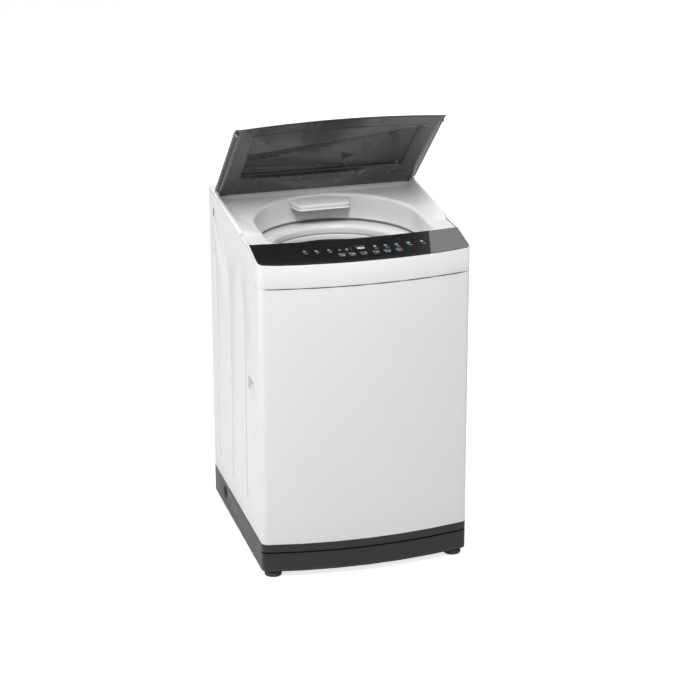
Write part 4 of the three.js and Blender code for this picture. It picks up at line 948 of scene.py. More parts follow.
@dataclass
class Base(SubAssembly):
    """Dark base frame with its four feet and the drain outlet."""

    finishes: Finishes
    edge: float = 0.0005
    groove_low: float = 0.0685
    groove_high: float = 0.0730
    grips: int = 24
    grip_depth: float = 0.0012

    def build(self) -> None:
        """Builds the base's pieces."""
        skirt = Bench.from_frame("base_frame", "base_moulding", self.edge, 3)
        self.place(skirt, "cabinet", "base_moulding", "base_frame")
        self.groove()
        outlet = Bench.from_frame("drain_outlet", "drain_ring", 0.0008)
        self.place(outlet, "cabinet", "black_moulding", "drain_outlet")
        for corner in CORNERS:
            body = f"front_foot_{corner[6:]}" if corner.startswith("front") else "cabinet"
            self.foot(corner, body)

    def groove(self) -> None:
        """Dark sheet of painted shade in the groove round the front, standing in for the groove's shadow."""
        # painted shade: the groove's back wall is copied as a thin near-black sheet that draws the groove's shadow
        seal = Bench.from_frame("base_frame", "groove_shade_sheet", 0)
        Bench.edit(seal)

        def outside(face: bpy.types.MeshPolygon) -> bool:
            """Says whether a face lies outside the groove's back wall."""
            x, y, z = face.center
            level = abs(face.normal.z) < 0.3 and self.groove_low < z < self.groove_high
            outward = face.normal.x * x + face.normal.y * y > 0
            return not (level and outward and y < -0.2)

        Bench.pick(seal, outside)
        bpy.ops.mesh.delete(type="FACE")
        bpy.ops.object.mode_set(mode="OBJECT")
        Bench.modify(seal, "SOLIDIFY", thickness=0.0006, offset=1)
        Bench.round_edges(seal, 0.0002)
        self.place(seal, "cabinet", "painted_shade_black")

    def foot(self, corner: str, body: str) -> None:
        """Levelling foot: a gripped rubber pad under a threaded stud.

        Args:
            corner: the corner that it stands in.
            body: the body that it moves with.
        """
        node = f"foot_{corner}"
        low, high = (Vector(p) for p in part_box(node))
        centre = middle(node)
        radius = (high.x - low.x) / 2
        place = (centre.x, centre.y, low.z)
        stud = 0.0047
        outline = [(0, 0), (radius - 0.003, 0), (radius - 0.0008, 0.001), (radius, 0.003),
                   (radius, 0.0105), (radius - 0.0012, 0.0125), (radius - 0.006, 0.014),
                   (stud + 0.003, 0.0150), (stud + 0.001, 0.0160), (stud, 0.0165)]
        top = high.z - low.z
        turns = max(4, int((top - 0.018) / 0.0016))
        for i in range(turns):
            height = 0.0172 + (top - 0.019) * i / turns
            outline += [(stud - 0.0006, height), (stud, height + 0.0006)]
        outline += [(stud - 0.001, top), (0, top)]
        pad = Bench.spun(node + "_pad", outline, place, self.grips * 2)
        Bench.edit(pad)
        step = math.pi / self.grips

        def gripped(face: bpy.types.MeshPolygon) -> bool:
            """Says whether a face is one of the grooves round the pad."""
            height = face.center.z - low.z
            if not 0.003 < height < 0.0105:
                return False
            angle = math.atan2(face.center.y - centre.y, face.center.x - centre.x) % (2 * math.pi)
            return int(angle / step) % 2 == 0

        Bench.pick(pad, gripped)
        bpy.ops.mesh.inset(thickness=0.0004, use_individual=True)
        bpy.ops.transform.resize(value=(1 - self.grip_depth / radius, 1 - self.grip_depth / radius, 1),
                                 center_override=place)
        bpy.ops.object.mode_set(mode="OBJECT")
        self.place(pad, body, "rubber_moulding", node)


@dataclass
class Panel(SubAssembly):
    """Sloping control panel with its printed keys and lit display."""

    finishes: Finishes
    bow: float = 0.032
    rear_bow: float = 0.020
    front_z: float = 0.847
    rear_z: float = 0.868
    rear_y: float = -0.161
    front_y: float = -0.268
    half: float = 0.275
    lift: float = 0.00006
    margin: float = 0.002
    corner: float = 0.016
    thickness: float = 0.0028
    split_front: float = 0.162
    split_rear: float = 0.193
    marks: list[bpy.types.Object] = field(default_factory=list)

    def build(self) -> None:
        """Builds the panel's pieces."""
        edge = self.half - self.margin
        film = self.plate("panel_film", lambda share: -edge, self.split)
        self.place(film, "cabinet", "panel_film", "control_panel")
        grey = self.plate("panel_end", lambda share: self.split(share) + 0.0003, lambda share: edge)
        self.place(grey, "cabinet", "panel_grey", "panel_end_section")
        self.prints()
        board = Bench.from_frame("control_board", "key_board", 0.0004)
        self.place(board, "cabinet", "solder_mask", "control_board")

    def front_line(self, x: float) -> float:
        """Gives the front edge's y at a station across."""
        radius = (self.half ** 2 + self.bow ** 2) / (2 * self.bow)
        return self.front_y - self.bow + radius - math.sqrt(radius ** 2 - x * x)

    def rear_line(self, x: float) -> float:
        """Gives the rear edge's y at a station across."""
        return self.rear_y - self.rear_bow * (1 - (x / self.half) ** 2)

    def split(self, share: float) -> float:
        """Gives the x where the black part ends, from 0 at the front edge to 1 at the rear edge."""
        return self.split_front + (self.split_rear - self.split_front) * share

    def plate(self, name: str, left: Callable[[float], float],
              right: Callable[[float], float]) -> bpy.types.Object:
        """Makes a stretch of the panel between two lines.

        Args:
            name: the piece's name.
            left: its left edge's x by the share up the slope.
            right: its right edge's x by the share up the slope.

        Returns:
            The plate.
        """
        Bench.clear()
        across, up = 60, 10
        bpy.ops.mesh.primitive_grid_add(x_subdivisions=across, y_subdivisions=up, size=2)
        piece = bpy.context.object
        piece.name = name
        edge = self.half - self.margin
        for vertex in piece.data.vertices:
            share = (vertex.co.y + 1) / 2
            lean = math.sin(vertex.co.x * math.pi / 2) if name == "panel_film" else vertex.co.x
            x = left(share) + (right(share) - left(share)) * (lean + 1) / 2
            near = self.front_line(x) + self.margin
            inside = edge - abs(x)
            if inside < self.corner:
                near += self.corner - math.sqrt(max(0.0, self.corner ** 2 - (self.corner - inside) ** 2))
            far = self.rear_line(x) - 0.0003
            y = near + (far - near) * share
            climb = (y - self.front_line(x)) / (self.rear_line(x) - self.front_line(x))
            vertex.co = (x, y, self.front_z + (self.rear_z - self.front_z) * climb)
        Bench.modify(piece, "SOLIDIFY", thickness=self.thickness, offset=-1)
        Bench.round_edges(piece, 0.0006, 2, 50)
        return piece

    def on_slope(self, x: float, share: float) -> Point:
        """Gives a point just over the panel's face.

        Args:
            x: station across.
            share: 0 at the front edge and 1 at the rear edge.

        Returns:
            The point.
        """
        front, rear = self.front_line(x), self.rear_line(x)
        z = self.front_z + (self.rear_z - self.front_z) * share
        return x, front + (rear - front) * share, z + self.lift

    def mark(self, outline: Sequence[tuple[float, float]], x: float, share: float,
             hole: float = 0.0) -> bpy.types.Object:
        """Prints a small flat mark on the slope.

        Args:
            outline: (across, up the slope) points in metres from the mark's middle.
            x: station across.
            share: 0 at the front edge and 1 at the rear edge.
            hole: width of the line, or 0 for a filled mark.

        Returns:
            The mark.
        """
        Bench.clear()
        bpy.ops.mesh.primitive_circle_add(vertices=len(outline), radius=1, fill_type="NGON")
        piece = bpy.context.object
        for vertex, (across, up) in zip(piece.data.vertices, outline):
            vertex.co = (across, up, 0)
        if hole:
            bpy.ops.object.mode_set(mode="EDIT")
            bpy.ops.mesh.select_all(action="SELECT")
            bpy.ops.mesh.inset(thickness=hole)
            bpy.ops.mesh.delete(type="FACE")
            bpy.ops.object.mode_set(mode="OBJECT")
        span = self.rear_line(x) - self.front_line(x)
        for vertex in piece.data.vertices:
            vertex.co = self.on_slope(x + vertex.co.x, share + vertex.co.y / span)
        Bench.edit(piece)
        bpy.ops.mesh.select_all(action="SELECT")
        bpy.ops.mesh.normals_make_consistent(inside=False)
        bpy.ops.object.mode_set(mode="OBJECT")
        if sum(face.normal.z for face in piece.data.polygons) < 0:
            piece.data.flip_normals()
        return piece

    @staticmethod
    def box(width: float, height: float, dx: float = 0.0, dy: float = 0.0) -> list[tuple[float, float]]:
        """Gives a rectangle's outline about an offset."""
        return [(dx - width / 2, dy - height / 2), (dx + width / 2, dy - height / 2),
                (dx + width / 2, dy + height / 2), (dx - width / 2, dy + height / 2)]

    @staticmethod
    def round(radius: float, sides: int = 20, dx: float = 0.0, dy: float = 0.0) -> list[tuple[float, float]]:
        """Gives a circle's outline about an offset."""
        return [(dx + radius * math.cos(2 * math.pi * i / sides), dy + radius * math.sin(2 * math.pi * i / sides))
                for i in range(sides)]

    def prints(self) -> None:
        """Prints the keys' signs, their lines and the digits of the display."""
        white, cyan, lit = [], [], []
        drop = [(0, 0.0034), (0.0012, 0.001), (0.0021, -0.0008), (0.0015, -0.0024), (0, -0.003),
                (-0.0015, -0.0024), (-0.0021, -0.0008), (-0.0012, 0.001)]
        shirt = [(-0.0016, -0.0028), (0.0016, -0.0028), (0.0016, 0.001), (0.0028, 0.0004), (0.0034, 0.0018),
                 (0.0014, 0.003), (-0.0014, 0.003), (-0.0034, 0.0018), (-0.0028, 0.0004), (-0.0016, 0.001)]
        for i, x in enumerate((-0.147, -0.118, -0.086)):
            white.append(self.mark(self.round(0.0034, 20), x, 0.56, 0.0007))
            white.append(self.mark(self.box(0.0008, 0.0034), x, 0.575))
            white.append(self.mark(self.box(0.0085, 0.0010, 0.002, 0), x, 0.47))
            if i:
                cyan.append(self.mark(self.round(0.0016, 12), x + 0.003, 0.53))
        for x in (-0.059, -0.041):
            white.append(self.mark(self.box(0.004, 0.009), x, 0.53, 0.0006))
            white.append(self.mark(self.box(0.0026, 0.0007, 0, 0.0018), x, 0.53))
        for i in range(3):
            white.append(self.mark(self.round(0.0007, 8), -0.0295, 0.60 - 0.05 * i))
        for column, x in enumerate((-0.0105, -0.0045, 0.0025)):
            for j in (-1, 0, 1):
                lit.append(self.mark(self.box(0.0036, 0.0008, 0, 0.0036 * j), x, 0.55))
            for dx in (-0.0021, 0.0021):
                for j in (-0.5, 0.5):
                    lit.append(self.mark(self.box(0.0008, 0.0028, dx, 0.0036 * j), x, 0.55))
        white.append(self.mark(self.box(0.022, 0.0006), -0.004, 0.64))
        signs = (shirt, drop, drop, shirt, drop)
        for x, sign in zip((0.033, 0.061, 0.090, 0.122, 0.158), signs):
            cyan.append(self.mark(sign, x, 0.57))
            white.append(self.mark(self.round(0.0044, 20), x, 0.57, 0.0005))
            white.append(self.mark(self.box(0.0095, 0.0010, 0.0025, 0), x, 0.475))
        for x in (-0.059, -0.033, -0.004, 0.029, 0.058, 0.089):
            white.append(self.mark(self.box(0.019, 0.0005), x, 0.375))
            for i, width in enumerate((0.0045, 0.003, 0.0055)):
                white.append(self.mark(self.box(width, 0.0013, -0.0055 + 0.0055 * i, 0), x, 0.335))
            white.append(self.mark(self.box(0.013, 0.0011), x, 0.275))
        for name, marks, finish in (("key_print", white, "white_print"), ("key_signs", cyan, "cyan_print"),
                                    ("display_digits", lit, "lit_digits")):
            self.place(Bench.joined(name, marks), "cabinet", finish)


@dataclass
class TopFrame(SubAssembly):
    """White top moulding with its funnel, the water box and what hides in the rear housing."""

    finishes: Finishes
    edge: float = 0.0011
    half: float = 0.2668
    tub_y: float = -0.008
    mouth: float = 0.214
    lip: float = 0.217
    lip_z: float = 0.8055
    housing_y: float = 0.2222
    rear_y: float = -0.161
    rear_bow: float = 0.020
    front_strip: float = 0.013
    ledge_z: float = 0.8655
    rise: float = 0.009
    notch_y: float = -0.070
    rim_front_z: float = 0.876
    rim_rear_z: float = 0.8935
    rim_rear_y: float = 0.202
    fillet: float = 0.009
    wall: float = 0.0022
    steps: int = 160

    def build(self) -> None:
        """Builds the top frame's pieces."""
        self.shell()
        self.deck()
        self.spout()
        hose = Bench.hose("inlet_hose_run", [(-0.117, 0.26185, 0.830), (-0.092, 0.26185, 0.832),
                                             (-0.022, 0.242, 0.853), (0.004, 0.234, 0.853),
                                             (0.008, 0.2204, 0.853)], 0.0055, 5, 10)
        self.place(hose, "cabinet", "black_moulding", "inlet_hose", smooth=60)
        # painted shade: a near-black piece inside each side slot stands in for the shadow in the slot
        for side in (-1, 1):
            outline = [(0.231 + 0.0048 * math.cos(math.pi * i / 12),
                        (0.846 if i < 13 else 0.832) + 0.0048 * math.sin(math.pi * i / 12)) for i in range(24)]
            loops = [[(side * (0.2748 - deep), 0.231 + (y - 0.231) * grow, z) for y, z in outline]
                     for deep, grow in ((0.0, 0.94), (0.0003, 1.0), (0.0022, 1.0), (0.0024, 0.94))]
            shade_fill = Bench.closed(Bench.lofted("slot_shade_fill", loops))
            self.place(shade_fill, "cabinet", "painted_shade_black")
        for node, name, finish, bevel in (
            ("inlet_valve", "inlet_valve_block", "gloss_white", 0.0008),
            ("level_sensor", "level_can", "black_moulding", 0.0008),
            ("lid_switch", "lid_switch_body", "gloss_white", 0.0006),
            ("run_capacitor", "capacitor_can", "cast_aluminium", 0.001),
        ):
            self.place(Bench.from_frame(node, name, bevel), "cabinet", finish, node)

    def spout(self) -> None:
        """Water box: a tapered spout with soft edges that leans out of the funnel's rear wall."""
        middle_x, front_y, back_y, low = 0.008, 0.146, 0.2195, 0.8465

        def outline(grow: float, height: Callable[[float], float]) -> list[Point]:
            """Gives a loop with rounded corners, grown by so much."""
            corners = ((0.071, front_y, -1), (0.091, back_y, 1))
            loop = []
            for side, order in ((1, corners), (-1, corners[::-1])):
                for half, y, away in order:
                    soft = 0.006
                    for i in range(5):
                        bend = math.pi / 2 * i / 4
                        turn = bend if (side > 0) == (away < 0) else math.pi / 2 - bend
                        x = side * (half + grow - soft + soft * math.sin(turn))
                        place_y = y + away * (grow - soft + soft * math.cos(turn))
                        loop.append((middle_x + x, place_y, height(place_y)))
            return loop

        def top(y: float) -> float:
            """Gives the height of the top face at a station from front to back."""
            return 0.8615 + 0.008 * (y - front_y) / (back_y - front_y)

        loops = [outline(-0.0040, lambda y: low + 0.003), outline(-0.0035, lambda y: low),
                 outline(-0.0012, lambda y: low), outline(-0.0004, lambda y: low + 0.0005),
                 outline(0, lambda y: low + 0.0018), outline(-0.0002, lambda y: top(y) - 0.0035),
                 outline(-0.0010, lambda y: top(y) - 0.0016), outline(-0.0024, lambda y: top(y) - 0.0005),
                 outline(-0.0045, top)]
        box = Bench.closed(Bench.lofted("water_spout", loops))
        self.place(box, "cabinet", "gloss_white", "water_box", smooth=50)

    def shell(self) -> None:
        """Fascia, rims and rear housing, without the deck."""
        shell = Bench.from_frame("top_frame", "top_moulding", 0)
        Bench.edit(shell)
        reach = self.mouth + 0.004

        def of_deck(face: bpy.types.MeshPolygon) -> bool:
            """Says whether a face belongs to the deck or the funnel."""
            x, y, z = face.center
            if abs(x) > self.half or y > self.housing_y - 0.001 or z < 0.79:
                return False
            if face.normal.z > 0.5 and y > self.rear_line(x) - 0.001:
                return True
            inside = math.hypot(x, y - self.tub_y) < reach + 0.012
            inward = face.normal.x * x + face.normal.y * (y - self.tub_y) < 0
            return inside and (inward or face.normal.z > 0.3) and z < self.ledge_z + 0.012

        Bench.pick(shell, of_deck)
        bpy.ops.mesh.delete(type="FACE")
        bpy.ops.object.mode_set(mode="OBJECT")
        Bench.round_edges(shell, self.edge, 2, 40)
        self.place(shell, "cabinet", "gloss_white", "top_frame", smooth=32)

    def rear_line(self, x: float) -> float:
        """Gives the y of the control panel's rear edge at a station across."""
        return self.rear_y - self.rear_bow * (1 - (x / 0.275) ** 2)

    def floor_z(self, y: float) -> float:
        """Gives the deck's height at a station from front to back."""
        return self.ledge_z + self.rise * (y - self.rear_y) / (self.housing_y - self.rear_y)

    def crease(self, y: float) -> float:
        """Gives the half width where the side plates start to rise."""
        stations = ((-0.181, 0.194), (-0.085, 0.214), (0.048, 0.240), (0.210, 0.2655))
        if y <= stations[0][0]:
            return stations[0][1]
        for (y0, x0), (y1, x1) in zip(stations, stations[1:]):
            if y <= y1:
                return x0 + (x1 - x0) * (y - y0) / (y1 - y0)
        return stations[-1][1]

    def deck_z(self, x: float, y: float) -> float:
        """Gives the height of the deck away from the funnel.

        Args:
            x: station across.
            y: station from front to back.

        Returns:
            The height.
        """
        floor = self.floor_z(y)
        crease = self.crease(y)
        if abs(x) <= crease:
            return floor
        along = (y - self.notch_y) / (self.rim_rear_y - self.notch_y)
        rim = self.rim_front_z + (self.rim_rear_z - self.rim_front_z) * min(1.0, max(0.0, along)) - 0.0015
        risen = min(1.0, max(0.0, (y - self.notch_y + 0.02) / 0.02))
        return floor + (rim - floor) * risen * (abs(x) - crease) / max(0.002, self.half - crease)

    def mouth_at(self, angle: float) -> float:
        """Gives the funnel's reach from the tub's axis in one direction."""
        c, s = math.cos(angle), math.sin(angle)
        if s >= 0:
            return self.mouth
        reach = self.mouth / max(abs(c), 1e-6)
        along = min(reach, 0.2)
        for _ in range(12):
            along = (self.rear_line(min(0.27, abs(along * c))) + self.front_strip - self.tub_y) / s
        side = min(reach, along)
        soft = 0.045
        if abs(reach - along) < soft:
            side -= (soft - abs(reach - along)) ** 2 / (4 * soft)
        return side

    def edge_at(self, angle: float) -> float:
        """Gives the deck's reach from the tub's axis in one direction."""
        c, s = math.cos(angle), math.sin(angle)
        reach = self.half / max(abs(c), 1e-6)
        if s > 0:
            return min(reach, (self.housing_y - self.tub_y) / s)
        if s < 0:
            along = 0.2
            for _ in range(12):
                along = (self.rear_line(min(0.27, abs(along * c))) + 0.0002 - self.tub_y) / s
            reach = min(reach, along)
        return reach

    def deck(self) -> None:
        """Deck that rolls softly into the funnel, down to the funnel's lip."""
        corners = [math.atan2(y - self.tub_y, x) for x in (-self.half, self.half)
                   for y in (self.housing_y, self.rear_line(self.half))]
        angles = sorted([2 * math.pi * i / self.steps - math.pi for i in range(self.steps)] + corners)
        loops: list[list[Point]] = []

        def ring(place: Callable[[float], tuple[float, float]]) -> None:
            """Adds a loop; place gives the reach and height for an angle."""
            loop = []
            for angle in angles:
                reach, z = place(angle)
                loop.append((reach * math.cos(angle), self.tub_y + reach * math.sin(angle), z))
            loops.append(loop)

        def flat(share: float) -> Callable[[float], tuple[float, float]]:
            """Place of a loop on the flat deck, from its edge (0) to the fillet (1)."""
            def place(angle: float) -> tuple[float, float]:
                outer, inner = self.edge_at(angle), self.mouth_at(angle)
                start = inner + min(self.fillet, 0.6 * (outer - inner))
                reach = outer + (start - outer) * share
                return reach, self.deck_z(reach * math.cos(angle), self.tub_y + reach * math.sin(angle))
            return place

        def curl(turn: float) -> Callable[[float], tuple[float, float]]:
            """Place of a loop on the fillet; turn runs from 0, level, to 1, upright."""
            def place(angle: float) -> tuple[float, float]:
                outer, inner = self.edge_at(angle), self.mouth_at(angle)
                wide = min(self.fillet, 0.6 * (outer - inner))
                start = inner + wide
                x, y = start * math.cos(angle), self.tub_y + start * math.sin(angle)
                bend = turn * math.pi / 2
                high = min(self.fillet * 0.8, wide)
                return start - wide * math.sin(bend), self.deck_z(x, y) - high * (1 - math.cos(bend))
            return place

        def drop(share: float) -> Callable[[float], tuple[float, float]]:
            """Place of a loop on the wall, from the fillet (0) to the lip (1)."""
            def place(angle: float) -> tuple[float, float]:
                inner, top = curl(1.0)(angle)
                ease = share * share * (3 - 2 * share)
                return inner + (self.lip - inner) * ease, top + (self.lip_z - top) * share
            return place

        for share in (0.0, 0.15, 0.3, 0.5, 0.7, 0.85, 1.0):
            ring(flat(share))
        for turn in (0.12, 0.25, 0.4, 0.55, 0.7, 0.85, 1.0):
            ring(curl(turn))
        for share in (0.1, 0.22, 0.36, 0.5, 0.64, 0.78, 0.9, 1.0):
            ring(drop(share))
        ring(lambda angle: (self.lip + 0.0006, self.lip_z - 0.0012))
        ring(lambda angle: (self.lip + 0.0022, self.lip_z - 0.0015))
        deck = Bench.lofted("deck_funnel", loops)
        Bench.edit(deck)
        bpy.ops.mesh.select_all(action="SELECT")
        bpy.ops.mesh.normals_make_consistent(inside=False)
        bpy.ops.object.mode_set(mode="OBJECT")
        level = sum(face.normal.z * face.area for face in deck.data.polygons)
        if level < 0:
            deck.data.flip_normals()
        Bench.modify(deck, "SOLIDIFY", thickness=self.wall, offset=-1)
        self.place(deck, "cabinet", "gloss_white", smooth=50)


@dataclass
class Basket(SubAssembly):
    """Spin basket, its balance ring, the lint filter and the pulsator."""

    finishes: Finishes
    tub_y: float = -0.008
    radius: float = 0.2298
    floor_z: float = 0.2458
    top_z: float = 0.7545
    around: int = 72
    rows: int = 24

    def build(self) -> None:
        """Builds the basket's pieces."""
        self.drum()
        self.ring()
        plate = Bench.from_frame("pulsator", "pulsator_plate", 0.0022, 3, 25)
        self.place(plate, "pulsator_unit", "tub_moulding", "pulsator", smooth=50)
        lint = Bench.from_frame("lint_filter", "lint_housing", 0.0015, 3)
        self.place(lint, "basket", "gloss_white", "lint_filter")

    def ring(self) -> None:
        """Hollow ring on the basket's rim, with a step round its inner edge."""
        outline = [(0.1805, 0.7565), (0.2318, 0.7565), (0.2318, 0.7885), (0.2308, 0.7925), (0.2285, 0.7955),
                   (0.2245, 0.7968), (0.2140, 0.7970), (0.1960, 0.7968), (0.1890, 0.7960), (0.1845, 0.7944),
                   (0.1826, 0.7928), (0.1822, 0.7914), (0.1812, 0.7908), (0.1802, 0.7914), (0.1790, 0.7906),
                   (0.1782, 0.7885), (0.1780, 0.7850), (0.1782, 0.7760), (0.1790, 0.7730), (0.1806, 0.7716),
                   (0.1812, 0.7700), (0.1806, 0.7686), (0.1800, 0.7660), (0.1800, 0.7590)]
        ring = Bench.spun("balance_ring_shell", outline, (0, self.tub_y, 0), 128)
        self.place(ring, "basket", "gloss_white", "balance_ring", smooth=40)

    def drum(self) -> None:
        """Perforated sheet drum with pressed waves and a dished floor."""
        corner, lip = 0.020, 0.004
        outline = [(0.0225, self.floor_z), (0.10, self.floor_z), (self.radius - corner - 0.03, self.floor_z),
                   (self.radius - corner, self.floor_z + 0.001)]
        for i in range(1, 5):
            bend = math.pi / 2 * i / 4
            outline.append((self.radius - corner + corner * math.sin(bend),
                            self.floor_z + corner * (1 - math.cos(bend)) + 0.001))
        low = self.floor_z + corner + 0.001
        outline += [(self.radius, low + (self.top_z - low) * (i + 1) / self.rows) for i in range(self.rows)]
        outline += [(self.radius - lip, self.top_z + 0.0002)]
        drum = Bench.spun("drum_shell", outline, (0, self.tub_y, 0), self.around, closed=False)
        pitch = (self.top_z - low) / self.rows

        def station(face: bpy.types.MeshPolygon) -> tuple[int, int]:
            """Gives a face's column and row on the wall."""
            angle = math.atan2(face.center.y - self.tub_y, face.center.x) % (2 * math.pi)
            return int(angle / (2 * math.pi) * self.around + 0.01), int((face.center.z - low) / pitch)

        def on_wall(face: bpy.types.MeshPolygon) -> bool:
            """Says whether a face belongs to the drum's upright wall."""
            reach = math.hypot(face.center.x, face.center.y - self.tub_y)
            return reach > self.radius - 0.003 and face.center.z > low

        def wave(face: bpy.types.MeshPolygon) -> bool:
            """Says whether a face belongs to a pressed wave."""
            column, row = station(face)
            return on_wall(face) and column % 9 in (0, 1) and 2 <= row < self.rows - 3

        def drilled(face: bpy.types.MeshPolygon) -> bool:
            """Says whether a face takes a hole."""
            column, row = station(face)
            return (on_wall(face) and 2 <= row < self.rows - 3 and column % 9 not in (0, 1, 2, 8)
                    and (column + row) % 2 == 0)

        Bench.edit(drum)
        Bench.pick(drum, drilled)
        bpy.ops.mesh.inset(thickness=0.0072, use_individual=True)
        bpy.ops.mesh.delete(type="FACE")
        Bench.pick(drum, wave)
        bpy.ops.mesh.inset(thickness=0.006)
        bpy.ops.transform.resize(value=(0.972, 0.972, 1), center_override=(0, self.tub_y, 0))
        bpy.ops.object.mode_set(mode="OBJECT")
        Bench.edit(drum)
        bpy.ops.mesh.select_all(action="SELECT")
        bpy.ops.mesh.normals_make_consistent(inside=False)
        bpy.ops.object.mode_set(mode="OBJECT")
        Bench.modify(drum, "SOLIDIFY", thickness=0.0012, offset=0)
        self.place(drum, "basket", "drum_sheet", "spin_basket", smooth=40)


@dataclass
class Lid(SubAssembly):
    """Tilting lid: moulded frame, tinted glass, two bumpers and its knuckles.

    It is modelled level, with the hinge axis as its origin and its reach counted towards the front.
    """

    finishes: Finishes
    hinge: Point = (0.0, 0.211, 0.893)
    open_angle: float = math.radians(-42.06)
    half: float = 0.275
    reach: float = 0.388
    bow: float = 0.022
    top: float = 0.009
    under: float = -0.005
    glass_low: float = 0.0055
    nose: float = 0.025
    nose_edge: float = -0.0025
    shoulder_back: float = 0.0135

    def build(self) -> None:
        """Builds the lid's pieces."""
        self.moulding()
        self.pane()
        for side, name in ((-1, "left"), (1, "right")):
            self.bumper(side, name)
            pin = f"hinge_pin_{name}"
            self.place(Bench.from_frame(pin, f"pin_{name}", 0.0004), "cabinet", "zinc_steel", pin)

    def tilted(self, piece: bpy.types.Object) -> bpy.types.Object:
        """Turns a level piece to the lid's angle at rest."""
        turn = Matrix.Translation(self.hinge) @ Matrix.Rotation(self.open_angle, 4, "X")
        piece.data.transform(turn)
        return piece

    def loop(self, half: float, reach: float, bow: float, back: float, radius: float, sides: float,
             front: float, shoulder: float = 0.0) -> list[Point]:
        """Gives one closed loop of the lid.

        Args:
            half: half its width.
            reach: its reach at the middle of the front.
            bow: how much more that is than at the corners.
            back: its reach at the back.
            radius: radius of its corners.
            sides: height along the sides and back.
            front: height along the front.
            shoulder: half width of the part behind the corner notches, or 0 for round corners.

        Returns:
            The loop's points.
        """
        corner = reach - bow
        right: list[tuple[float, float, float]] = []
        behind = self.shoulder_back if shoulder else back + radius
        if shoulder:
            right += [(shoulder - 0.0005, back, 0), (shoulder, (back + behind) / 2, 0), (shoulder, behind, 0),
                      ((half + shoulder) / 2, behind, 0), (half, behind, 0)]
        else:
            for i in range(5):
                bend = math.pi / 2 * i / 4
                right.append((half - radius + radius * math.sin(bend), behind - radius * math.cos(bend), 0))
        for i in range(1, 14):
            right.append((half, behind + (corner - radius - behind) * i / 14, 0))
        for i in range(9):
            bend = math.pi / 2 * i / 8
            x = half - radius + radius * math.cos(bend)
            right.append((x, corner - radius + radius * math.sin(bend) + bow * (1 - (x / half) ** 2),
                          math.sin(bend)))
        for i in range(1, 24):
            x = (half - radius) * (1 - i / 24)
            right.append((x, corner + bow * (1 - (x / half) ** 2), 1))
        whole = right + [(0.0, reach, 1)] + [(-x, s, w) for x, s, w in reversed(right)]
        first, last = right[0][0], -right[0][0]
        whole += [(last + (first - last) * i / 24, back, 0) for i in range(1, 24)]
        return [(x, -s, sides + (front - sides) * w) for x, s, w in whole]

    def moulding(self) -> None:
        """Frame with a thin outer band, a raised bead and a stepped slope down to the window."""
        low, seat = self.under, self.glass_low - 0.0004
        loops = [
            self.loop(0.2165, 0.3295, 0.012, 0.0945, 0.008, seat, seat),
            self.loop(0.2600, 0.3600, self.bow, 0.0100, 0.006, seat, seat),
            self.loop(self.half - 0.0008, self.reach - self.nose - 0.0008, self.bow, -0.003, 0.008,
                      seat, seat, 0.2637),
            self.loop(self.half - 0.0004, self.reach - self.nose - 0.0004, self.bow, -0.0034, 0.008,
                      seat, self.top - 0.0006, 0.2641),
            self.loop(self.half - 0.0003, self.reach - self.nose + 0.0010, self.bow, -0.0036, 0.008,
                      seat - 0.0002, self.top - 0.0004, 0.2643),
            self.loop(self.half - 0.0001, self.reach - 0.0012, self.bow, -0.0038, 0.009,
                      seat - 0.0005, self.nose_edge + 0.0004, 0.2644),
            self.loop(self.half, self.reach, self.bow, -0.004, 0.009, 0.0036, -0.0030, 0.2645),
            self.loop(self.half, self.reach, self.bow, -0.004, 0.009, 0.0016, -0.0042, 0.2645),
            self.loop(self.half - 0.0008, self.reach - 0.0010, self.bow, -0.0032, 0.009, 0.0010, low, 0.2637),
            self.loop(0.2672, self.reach - 0.0060, self.bow, -0.0020, 0.010, 0.0010, low, 0.2570),
            self.loop(0.2658, self.reach - 0.0075, self.bow, -0.0010, 0.011, -0.0030, low, 0.2560),
            self.loop(0.2640, self.reach - 0.0095, self.bow, 0.0006, 0.012, low, low, 0.2548),
            self.loop(0.2600, 0.3560, 0.018, 0.0520, 0.032, low, low),
            self.loop(0.2565, 0.3450, 0.015, 0.0570, 0.031, low - 0.0002, low - 0.0002),
            self.loop(0.2550, 0.3425, 0.014, 0.0585, 0.030, low - 0.0010, low - 0.0010),
            self.loop(0.2530, 0.3405, 0.013, 0.0605, 0.028, low - 0.0015, low - 0.0015),
            self.loop(0.2510, 0.3390, 0.013, 0.0625, 0.026, low - 0.0015, low - 0.0015),
            self.loop(0.2495, 0.3375, 0.013, 0.0640, 0.025, low - 0.0008, low - 0.0008),
            self.loop(0.2480, 0.3365, 0.012, 0.0655, 0.024, low + 0.0006, low + 0.0006),
            self.loop(0.2440, 0.3355, 0.012, 0.0690, 0.022, low + 0.0014, low + 0.0010),
            self.loop(0.2330, 0.3340, 0.012, 0.0800, 0.016, low + 0.0020, low + 0.0018),
            self.loop(0.2255, 0.3328, 0.012, 0.0868, 0.013, low + 0.0030, low + 0.0030),
            self.loop(0.2225, 0.3318, 0.012, 0.0896, 0.011, low + 0.0050, low + 0.0050),
            self.loop(0.2195, 0.3308, 0.012, 0.0922, 0.009, low + 0.0062, low + 0.0062),
            self.loop(0.2175, 0.3300, 0.012, 0.0940, 0.008, low + 0.0078, low + 0.0078),
            self.loop(0.2165, 0.3295, 0.012, 0.0945, 0.008, seat, seat),
        ]
        body = Bench.closed(Bench.lofted("lid_moulding_frame", loops))
        knuckles = []
        for side in (-1, 1):
            outline = [(0.0034, -0.008), (0.0047, -0.008), (0.0051, -0.0076), (0.0051, 0.0076),
                       (0.0047, 0.008), (0.0034, 0.008)]
            knuckles.append(Bench.spun("knuckle", outline, (side * 0.2525, 0, 0), 32, Axis.X))
        whole = self.tilted(Bench.joined("lid_moulding_frame", [body] + knuckles))
        self.place(whole, "lid", "lid_moulding", "lid_frame", smooth=42)

